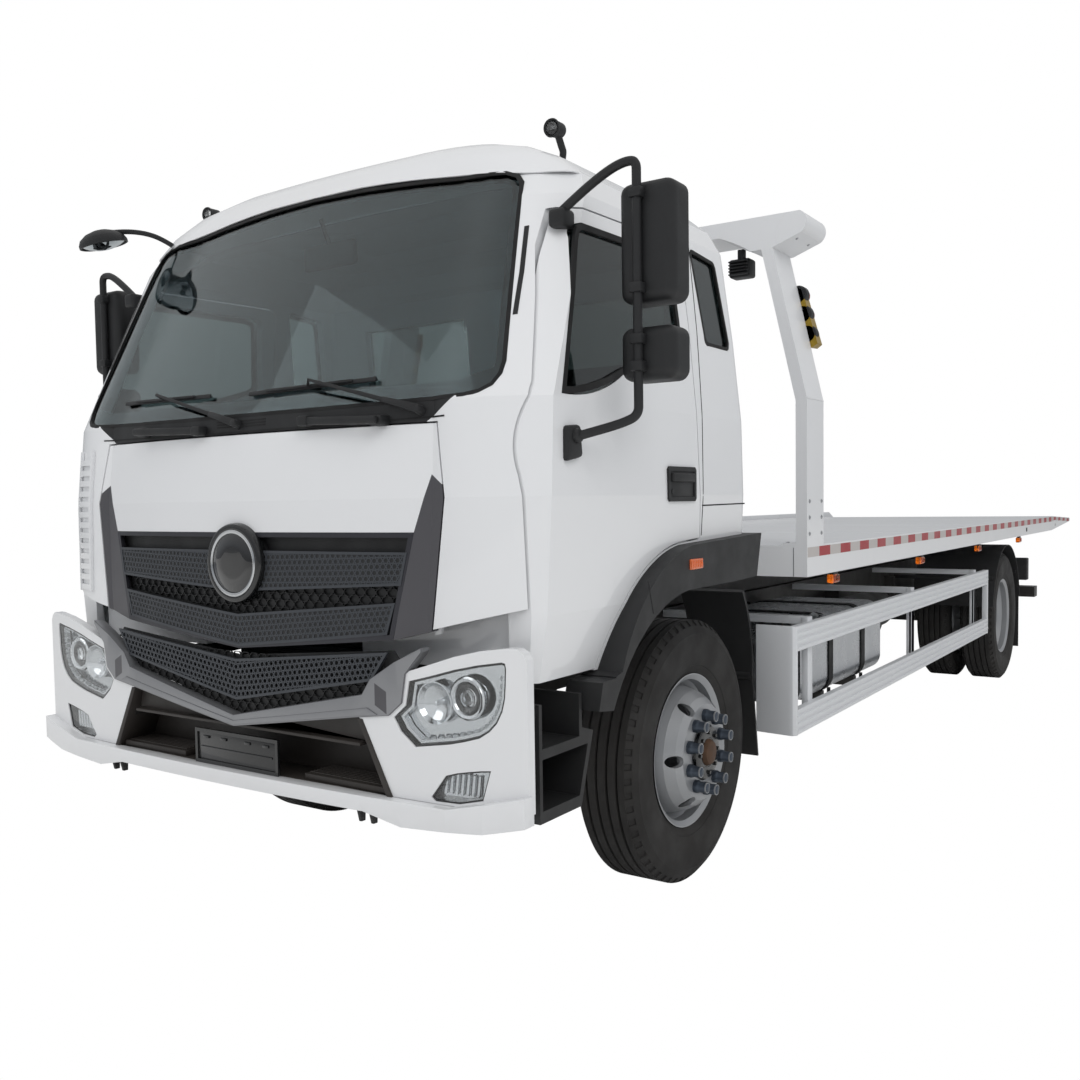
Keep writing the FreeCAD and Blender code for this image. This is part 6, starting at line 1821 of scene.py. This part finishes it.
@dataclass
class GantryDress:
    """Folded yellow lamp plates with three lamps each, bolts and seams of the gantry, and the work lamp."""

    rear: float = -880.5
    lamp_low: Pair = (1185, 2170)
    lamp_run: Pair = (-62, 260)
    lamp_shares: Numbers = (0.16, 0.5, 0.84)

    def spot(self, share: float) -> Pair:
        """Where a lamp sits across and up the leaning plate, at a share of its run."""
        return self.lamp_low[0] + self.lamp_run[0] * share, self.lamp_low[1] + self.lamp_run[1] * share

    def plates(self) -> Shape:
        """Passivated lamp plates, folded back along three edges."""
        corners = [(1092, 2440), (1150, 2412), (1222, 2165), (1200, 2150), (1156, 2160)]
        folds = (
            [(1092, 2440), (1096, 2441), (1161, 2161), (1156, 2160)],
            [(1147, 2411), (1151, 2412), (1223, 2166), (1218, 2164)],
            [(1156, 2160), (1200, 2150), (1222, 2165), (1219, 2168), (1199, 2154), (1157, 2164)])
        made = prism(corners, self.rear - 4, self.rear, "front", 1.5)
        for fold in folds:
            made.add(prism(fold, self.rear - 62, self.rear - 1))
        return made.both()

    def lamp(self, share: float) -> Shape:
        """One round ribbed lamp on the plate.

        Args:
            share: Its place on the plate's run.

        Returns:
            The lamp on both posts.
        """
        y, z = self.spot(share)
        profile = [(0.1, 42), (14, 41), (26, 36), (34, 26), (37, 12), (37, 0), (0.1, 0)]
        made = lathe(profile, (self.rear - 40, y, z), BACKWARD, 32)
        for radius in (12, 22, 30):
            depth = 42 - radius * radius * 0.012
            made.add(lathe([(radius, depth - 3), (radius + 1.5, depth + 0.6), (radius + 3, depth - 3)],
                           (self.rear - 40, y, z), BACKWARD, 32))
        return made.both()

    def sockets(self) -> Shape:
        """Black rubber sockets behind the lamps."""
        made = Shape()
        can = [(0.1, 42), (38, 42), (41, 38), (41, 4), (36, 0), (0.1, 0)]
        for share in self.lamp_shares:
            made.add(lathe(can, (self.rear, *self.spot(share)), BACKWARD, 28))
        return made.both()

    def bolts(self) -> Shape:
        """Dome bolts at the posts' feet, in the beam's ends and along the foot plates."""
        made = Shape()
        dome = [(0.1, 5), (5, 4.4), (8.5, 2), (9.5, 0), (0.1, 0)]
        for z in (1330, 1400, 1470):
            for x in (-700, -850):
                made.add(lathe(dome, (x, 1250, z), LEFT, 12))
        for x in (-720, -860):
            made.add(lathe(dome, (x, 1190, 2597), (0, 0.8, -0.6), 12))
            made.add(lathe(dome, (x, 1145, 1290), UP, 12))
        return made.both()

    def seams(self) -> Shape:
        """Welded seams at the knees and along the beam's end caps."""
        made = tube([(-670, 1250.5, 1910), (-775, 1251, 1910), (-880, 1250.5, 1910)], 2.0, 4)
        for x in (-671, -914):
            made.add(tube([(x, 1165, 2699), (x, 1125, 2660), (x, 1110, 2610), (x, 1122, 2575)], 1.8, 6))
        return made.both()

    def work_lamp(self) -> Shape:
        """Black work lamp under the gantry's beam, facing rearward, with its bracket and cooling fins."""
        made = block((-850, 850, 2478), (-770, 950, 2560), 12, 3)
        for row in range(5):
            made.add(block((-772, 856, 2486 + row * 14), (-752, 944, 2492 + row * 14), 1.5, 1))
        made.add(block((-820, 885, 2555), (-790, 915, 2604), 3))
        return made

    def work_lamp_glass(self) -> Shape:
        """Glass of the work lamp."""
        return block((-856, 860, 2488), (-849, 940, 2550), 3)

    def build(self) -> None:
        """Makes the gantry's pieces."""
        made = self.plates().piece("lamp_plates", [Paint.YELLOW], "bed", "bed_white", 30)
        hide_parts("gantry_lamps")
        self.sockets().piece("lamp_sockets", [Paint.PLASTIC], "bed", "rubber_black")
        kinds = (("clear", Clear.LENS), ("red", Clear.RED), ("amber", Clear.AMBER))
        for (name, finish), share in zip(kinds, self.lamp_shares):
            self.lamp(share).piece(f"post_lamps_{name}", [finish], "bed", "lamp_red", 60)
        self.bolts().piece("gantry_bolts", [Paint.ZINC_BOLT], "bed", "polished_steel")
        self.seams().piece("gantry_seams", [Paint.POWDER], "bed", "bed_white")
        self.work_lamp().piece("work_lamp", [Paint.PLASTIC], "bed", "dark_plastic")
        self.work_lamp_glass().piece("work_lamp_glass", [Clear.LENS], "bed", "lamp_clear")


@dataclass
class SideGuards:
    """Ribbed aluminium guard rails with their posts, bent front plate and end caps."""

    front: float = -690
    rear: float = -4690
    outer: float = 1200
    depth: float = 35
    rail_height: float = 110
    low: float = 451
    high: float = 817

    def rail(self, z: float) -> Shape:
        """Extruded rail: three flat ribs with grooves between them.

        Args:
            z: Height of its lower edge.

        Returns:
            The left rail.
        """
        height = self.rail_height
        y0, y1 = self.outer - self.depth, self.outer
        section = [(y0, z), (y1 - 4, z), (y1, z + 4)]
        rib = height / 7
        for index in range(3):
            low = z + rib * (2 * index + 1)
            section += [(y1, low), (y1 - 7, low + 3), (y1 - 7, low + rib - 3), (y1, low + rib)]
        section += [(y1, z + height - 4), (y1 - 4, z + height), (y0, z + height)]
        return prism(section, self.rear, self.front)

    def build(self) -> None:
        """Makes the guards of both sides."""
        made = self.rail(self.low).add(self.rail(self.high))
        top = self.high + self.rail_height
        front_plate = [(-2, 1010), (8, 1010), (26, 1166), (25, 1186), (12, 1198), (-2, 1200)]
        made.add(prism([(self.front + x, y) for x, y in front_plate], self.low - 1, top + 1, "plan", 1.5))
        for x in (-2700, -4400):
            made.add(block((x - 30, self.outer - 50, self.low), (x + 30, self.outer - 34, top), 2))
        for x in (-940, -2700, -4400):
            made.add(block((x - 30, 1135, self.low), (x + 30, 1166, top + 18), 3))
            made.add(block((x - 25, 425.5, 911), (x + 25, 1136, 945), 3))
        made.add(block((self.rear - 3, 1163, self.low - 1), (self.rear + 26, 1201, top + 1), 3))
        for z in (self.low + 40, self.high + 40):
            made.add(rod((self.rear + 12, 1200, z), (self.rear + 12, 1204, z), 7, 6, 12))
        made = made.both().piece("side_guard_rails", [Paint.GUARD], "chassis", "guard_white", 30)
        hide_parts("side_guards")


@dataclass
class TankDress:
    """Straps, end welds and filler cap of the fuel tank."""

    straps: Numbers = (-1407, -1926)
    welds: Numbers = (-1010, -2240)
    corner: float = 80

    def strap(self, x: float) -> Shape:
        """Rubber-lined strap round the tank.

        Args:
            x: Its middle.

        Returns:
            The strap.
        """
        y0, y1, z0, z1, r = 470, 1100, 520, 905, self.corner
        loop = []
        for cy, cz, start in ((y1 - r, z1 - r, 0), (y0 + r, z1 - r, 90), (y0 + r, z0 + r, 180),
                              (y1 - r, z0 + r, 270)):
            for k in range(7):
                angle = math.radians(start + 15 * k)
                loop.append((cy + (r + 6) * math.cos(angle), cz + (r + 6) * math.sin(angle)))
        return ring(loop, 5.5).move(x + 30).thicken(60)

    def cap(self) -> Shape:
        """Filler cap with its latch, and the welds of the tank's ends."""
        made = lathe([(0.1, 32), (40, 32), (52, 26), (54, 0), (0.1, 0)], (-1320, 1060, 868), (0, 0.7, 0.7), 32)
        made.add(block((-1332, 1074, 884), (-1308, 1104, 914), 4))
        for x in self.welds:
            made.add(block((x - 3, 560, 519), (x + 3, 1010, 906), 2.5))
        return made

    def build(self) -> None:
        """Makes the tank's dress."""
        made = Shape()
        for x in self.straps:
            made.add(self.strap(x))
            made.add(rod((x - 8, 1090, 470), (x - 8, 1090, 540), 9, 9, 16))
        made.piece("tank_straps", [Paint.SEAL], "chassis", "black_steel")
        self.cap().piece("tank_cap", [Paint.CHROME], "chassis", "tank_aluminium")


@dataclass
class FrameDress:
    """Radiator, spring bolts, lines along the frame, ribs of the mudflaps, and the doors' handle recesses."""

    lines: Sequence[tuple[Points, float]] = (
        (((-300, 345, 1000), (-900, 345, 985), (-2400, 340, 930), (-5000, 340, 900)), 14),
        (((-300, 380, 960), (-1400, 335, 880), (-3400, 338, 850), (-6500, 340, 850)), 9))
    spring_y: float = 480
    leaves: int = 3
    radiator_rows: int = 20
    flap_ribs: int = 9

    def radiator(self) -> Shape:
        """Radiator core with its rows of fins and its side tanks."""
        core = block((1000, -300, 640), (1046, 300, 985), 6)
        for row in range(self.radiator_rows):
            core.add(block((1045, -280, 655 + row * 16), (1051, 280, 662 + row * 16), 1, 1))
        for side in (1, -1):
            core.add(sided_block(side, (992, 296, 620), (1056, 330, 990), 8))
        return core

    def small_parts(self) -> Shape:
        """Air and wiring lines along the rails, and the bolts, clamps and leaves of the rear springs."""
        small = Shape()
        for side in (-1, 1):
            for points, radius in self.lines:
                small.add(tube([(x, side * y, z) for x, y, z in points], radius))
        for side in (1, -1):
            for x in (REAR_AXLE_X - 70, REAR_AXLE_X + 70):
                for y in (450, 515):
                    small.add(rod((x, side * y, 470), (x, side * y, 665), 11, 11, 12))
                small.add(sided_block(side, (x - 16, 440, 652), (x + 16, 525, 668), 3))
            for leaf in range(self.leaves):
                reach = 600 - leaf * 150
                base = 590 + 14 * leaf
                end_z = base + reach * reach * 0.0002 + 30
                y = side * self.spring_y
                small.add(tube([(REAR_AXLE_X - reach, y, end_z), (REAR_AXLE_X, y, base - 10),
                                (REAR_AXLE_X + reach, y, end_z)], 9))
        return small

    def mudflap_ribs(self) -> Shape:
        """Upright ribs on the back of the mudflaps."""
        made = Shape()
        for side in (1, -1):
            for index in range(self.flap_ribs):
                y = side * (640 + index * 64)
                made.add(block((-6026, y - 5, 210), (-6019, y + 5, 600), 2, 1))
        return made

    def build(self) -> None:
        """Makes the frame's small parts and the panels behind the door handles."""
        self.radiator().piece("radiator", [Paint.PLASTIC], "chassis", "black_steel")
        for name, side in (("left", 1), ("right", -1)):
            panel = sided_block(side, (219, 1144, 1481), (423, 1153.5, 1599), 4)
            panel.piece(f"handle_recess_{name}", [Paint.PLASTIC], f"door_{name}", "dark_plastic")
        self.small_parts().piece("frame_small_parts", [Paint.CHASSIS], "chassis", "black_steel")
        self.mudflap_ribs().piece("mudflap_ribs", [Paint.SEAL], "chassis", "rubber_black")


@dataclass
class RearLamps:
    """Rear lamp clusters: black housings, red, amber and clear cells, and ribs on each cell."""

    def build(self) -> None:
        """Makes both clusters."""
        body = block((-6932, 818, 698), (-6840, 1122, 902), 10, 3)
        body.add(block((-6900, 426, 760), (-6860, 830, 840), 3))
        made = body.both().piece("rear_lamp_housings", [Paint.PLASTIC], "chassis", "dark_plastic")
        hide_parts("rear_lamps")
        cells = (("red", 830, 925, Clear.RED), ("amber", 931, 1010, Clear.AMBER), ("white", 1016, 1110, Clear.LENS))
        for name, y0, y1, finish in cells:
            cell = block((-6944, y0, 712), (-6930, y1, 888), 5, 3)
            for row in range(9):
                z = 724 + row * 18
                cell.add(block((-6947, y0 + 6, z), (-6942, y1 - 6, z + 9), 1.5, 1))
            cell.both().piece(f"rear_lamp_cells_{name}", [finish], "chassis", "lamp_red")


@dataclass
class Seats:
    """Cloth seats: padded cushions and backs over plastic plinths."""

    voxel: float = 0.012
    frames: int = 20
    cap: float = 0.024
    floor: float = 1250.3

    def pad(self, name: str, low: Numbers, high: Numbers, lean: float) -> bpy.types.Object:
        """One stuffed pad, blown up by cloth pressure, with each point's rise capped.

        Args:
            name: Name of the piece.
            low: Lowest corner in millimetres.
            high: Highest corner.
            lean: How far its top leans back, in millimetres.

        Returns:
            The pad.
        """
        form = block([a + 16 for a in low], [b - 16 for b in high], 30, 3)
        height = high[2] - low[2]
        form.bend(lambda co: Vector((co.x - lean * (co.z - low[2]) / height, co.y, co.z)))
        made = form.piece(name, [Paint.CLOTH], "cab", "seat_cloth", 180)
        remesh = made.modifiers.new("skin", "REMESH")
        remesh.mode = "VOXEL"
        remesh.voxel_size = self.voxel
        self.bake(made)
        self.inflate(made)
        smooth = made.modifiers.new("smooth", "SUBSURF")
        smooth.levels = smooth.render_levels = 1
        self.bake(made)
        made.data.shade_smooth()
        return made

    def bake(self, made: bpy.types.Object) -> None:
        """Applies the piece's modifiers to its mesh.

        Args:
            made: The piece.
        """
        graph = bpy.context.evaluated_depsgraph_get()
        data = bpy.data.meshes.new_from_object(made.evaluated_get(graph))
        old = made.data
        made.modifiers.clear()
        made.data = data
        data.name = old.name
        bpy.data.meshes.remove(old)

    def inflate(self, made: bpy.types.Object) -> None:
        """Runs the cloth and keeps each point within its cap.

        Args:
            made: The pad.
        """
        start = [vert.co.copy() for vert in made.data.vertices]
        cloth = made.modifiers.new("cloth", "CLOTH")
        cloth.settings.use_pressure = True
        cloth.settings.uniform_pressure_force = 4.0
        cloth.settings.effector_weights.gravity = 0.0
        cloth.settings.quality = 4
        scene = bpy.context.scene
        for frame_number in range(1, self.frames + 1):
            scene.frame_set(frame_number)
        self.bake(made)
        for vert, rest in zip(made.data.vertices, start):
            shift = vert.co - rest
            if shift.length > self.cap:
                vert.co = rest + shift * (self.cap / shift.length)
        scene.frame_set(1)

    def build(self) -> None:
        """Makes the seats."""
        base = Shape()
        for y0, y1 in ((335, 845), (-845, 145)):
            base.add(block((60, y0 + 20, self.floor), (520, y1 - 20, 1392), 18, 3))
            base.add(block((-50, y0 + 40, self.floor + 60), (40, y1 - 40, 1420), 12, 3))
        made = base.piece("seat_plinths", [Paint.INTERIOR], "cab", "dark_plastic")
        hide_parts("seats")
        for name, y0, y1 in (("driver", 334, 846), ("passenger", -846, 146)):
            self.pad(f"{name}_cushion", (34, y0, 1382), (556, y1, 1498), 0)
            self.pad(f"{name}_back", (-62, y0 + 4, 1470), (58, y1 - 4, 2076), 96)


@dataclass
class Studio:
    """The pale floor, the soft light and the camera."""

    place: Vector = field(default_factory=lambda: Vector((7.2611, 2.8184, 1.4808)))
    yaw_deg: float = 213.7224
    pitch_deg: float = -2.9644
    roll_deg: float = -0.8442
    lens_mm: float = 34.95
    shift: Pair = (-0.0082, 0.0156)
    floor_size: float = 120.0
    lamp_size: float = 7.0
    key_watts: float = 450.0
    fill_watts: float = 200.0
    sky_strength: float = 0.7

    def camera(self) -> None:
        """Makes the camera at the photograph's place and angle."""
        yaw, pitch, roll = [math.radians(a) for a in (self.yaw_deg, self.pitch_deg, self.roll_deg)]
        forward = Vector((math.cos(pitch) * math.cos(yaw), math.cos(pitch) * math.sin(yaw), math.sin(pitch)))
        right = forward.cross(Vector(UP)).normalized()
        above = right.cross(forward)
        turned_right = math.cos(roll) * right + math.sin(roll) * above
        turned_up = -math.sin(roll) * right + math.cos(roll) * above
        data = bpy.data.cameras.new("camera")
        data.lens = self.lens_mm
        data.sensor_width = 36.0
        data.sensor_fit = "HORIZONTAL"
        data.shift_x, data.shift_y = self.shift
        data.clip_end = 400.0
        camera = bpy.data.objects.new("camera", data)
        turn = Matrix((turned_right, turned_up, -forward)).transposed()
        camera.matrix_world = Matrix.Translation(self.place) @ turn.to_4x4()
        bpy.context.scene.collection.objects.link(camera)
        bpy.context.scene.camera = camera

    def world(self) -> None:
        """Pale surroundings: white to the camera, a soft sky to everything else."""
        world = bpy.data.worlds.new("pale_sky")
        bpy.context.scene.world = world
        world.use_nodes = True
        tree = world.node_tree
        tree.nodes.clear()
        way = add_node(tree, "ShaderNodeLightPath")
        height = add_node(tree, "ShaderNodeSeparateXYZ", None,
                          {0: add_node(tree, "ShaderNodeTexCoord").outputs["Generated"]})
        sky = add_node(tree, "ShaderNodeValToRGB", None, {0: height.outputs[2]})
        ramp = sky.color_ramp
        ramp.elements[0].position = 0.0
        ramp.elements[0].color = linear("#A9ACB0")
        ramp.elements[1].position = 0.6
        ramp.elements[1].color = linear("#FFFFFF")
        middle = ramp.elements.new(0.12)
        middle.color = linear("#C9CDD2")
        soft = add_node(tree, "ShaderNodeBackground", None, {"Color": sky.outputs[0], "Strength": self.sky_strength})
        white = add_node(tree, "ShaderNodeBackground", None, {"Color": (1, 1, 1, 1), "Strength": 1.0})
        seen = add_node(tree, "ShaderNodeMath", {"operation": "MAXIMUM"},
                        {0: way.outputs["Is Camera Ray"], 1: way.outputs["Is Transmission Ray"]})
        mix = add_node(tree, "ShaderNodeMixShader", None,
                       {0: seen.outputs[0], 1: soft.outputs[0], 2: white.outputs[0]})
        add_node(tree, "ShaderNodeOutputWorld", None, {"Surface": mix.outputs[0]})

    def light(self, name: str, place: Numbers, target: Numbers, size: float,
              power: float) -> None:
        """Adds one large soft lamp.

        Args:
            name: Name of the lamp.
            place: Where it stands.
            target: What it points at.
            size: Side of its square, in metres.
            power: Power in watts.
        """
        data = bpy.data.lights.new(name, "AREA")
        data.shape = "SQUARE"
        data.size = size
        data.energy = power
        lamp = bpy.data.objects.new(name, data)
        lamp.location = Vector(place)
        aim = Vector(target) - Vector(place)
        lamp.rotation_euler = aim.to_track_quat("-Z", "Y").to_euler()
        lamp.visible_glossy = False
        bpy.context.scene.collection.objects.link(lamp)

    def floor(self) -> None:
        """Lays the pale floor, which the camera sees as plain white."""
        shape = bmesh.new()
        bmesh.ops.create_grid(shape, x_segments=1, y_segments=1, size=self.floor_size / 2)
        mesh = bpy.data.meshes.new("floor")
        shape.to_mesh(mesh)
        shape.free()
        plane = bpy.data.objects.new("floor", mesh)
        bpy.context.scene.collection.objects.link(plane)
        finish = Finish("pale_floor", "#F4F4F3", roughness=0.9, grain_mm=50, grain_height=0.0, mottle_share=0.0)
        paper = finish.material()
        tree = paper.node_tree
        output = next(node for node in tree.nodes if node.type == "OUTPUT_MATERIAL")
        lit = output.inputs["Surface"].links[0].from_socket
        white = add_node(tree, "ShaderNodeEmission", None, {"Color": (1, 1, 1, 1), "Strength": 1.0})
        way = add_node(tree, "ShaderNodeLightPath")
        mix = add_node(tree, "ShaderNodeMixShader", None,
                       {0: way.outputs["Is Camera Ray"], 1: lit, 2: white.outputs[0]})
        tree.links.new(mix.outputs[0], output.inputs["Surface"])
        mesh.materials.append(paper)

    def build(self) -> None:
        """Makes the whole studio."""
        self.camera()
        self.world()
        self.floor()
        self.light("key", (9.0, 9.0, 9.0), (3.0, 0.0, 1.0), self.lamp_size, self.key_watts)
        self.light("fill", (12.0, -6.0, 7.0), (3.5, 0.0, 1.2), self.lamp_size, self.fill_watts)
        bpy.context.scene.view_settings.view_transform = "Standard"


def main() -> None:
    """Builds the studio, dresses the CAD's nodes and builds every sub-assembly in order."""
    logging.basicConfig(level=logging.INFO, format="%(message)s")
    Studio().build()
    dress_nodes()
    bumper = FrontBumper()
    makers = (bumper, FrontLamps(bumper.headlamp, bumper.fog_lamp), Grille(), Screen(), Roof(), DoorFittings(),
              CabTrim(), Wheels(), BedDress(), GantryDress(), SideGuards(), TankDress(), FrameDress(), RearLamps(),
              Seats())
    for maker in makers:
        log.info("building %s", type(maker).__name__)
        maker.build()


if __name__ == "__main__":
    main()
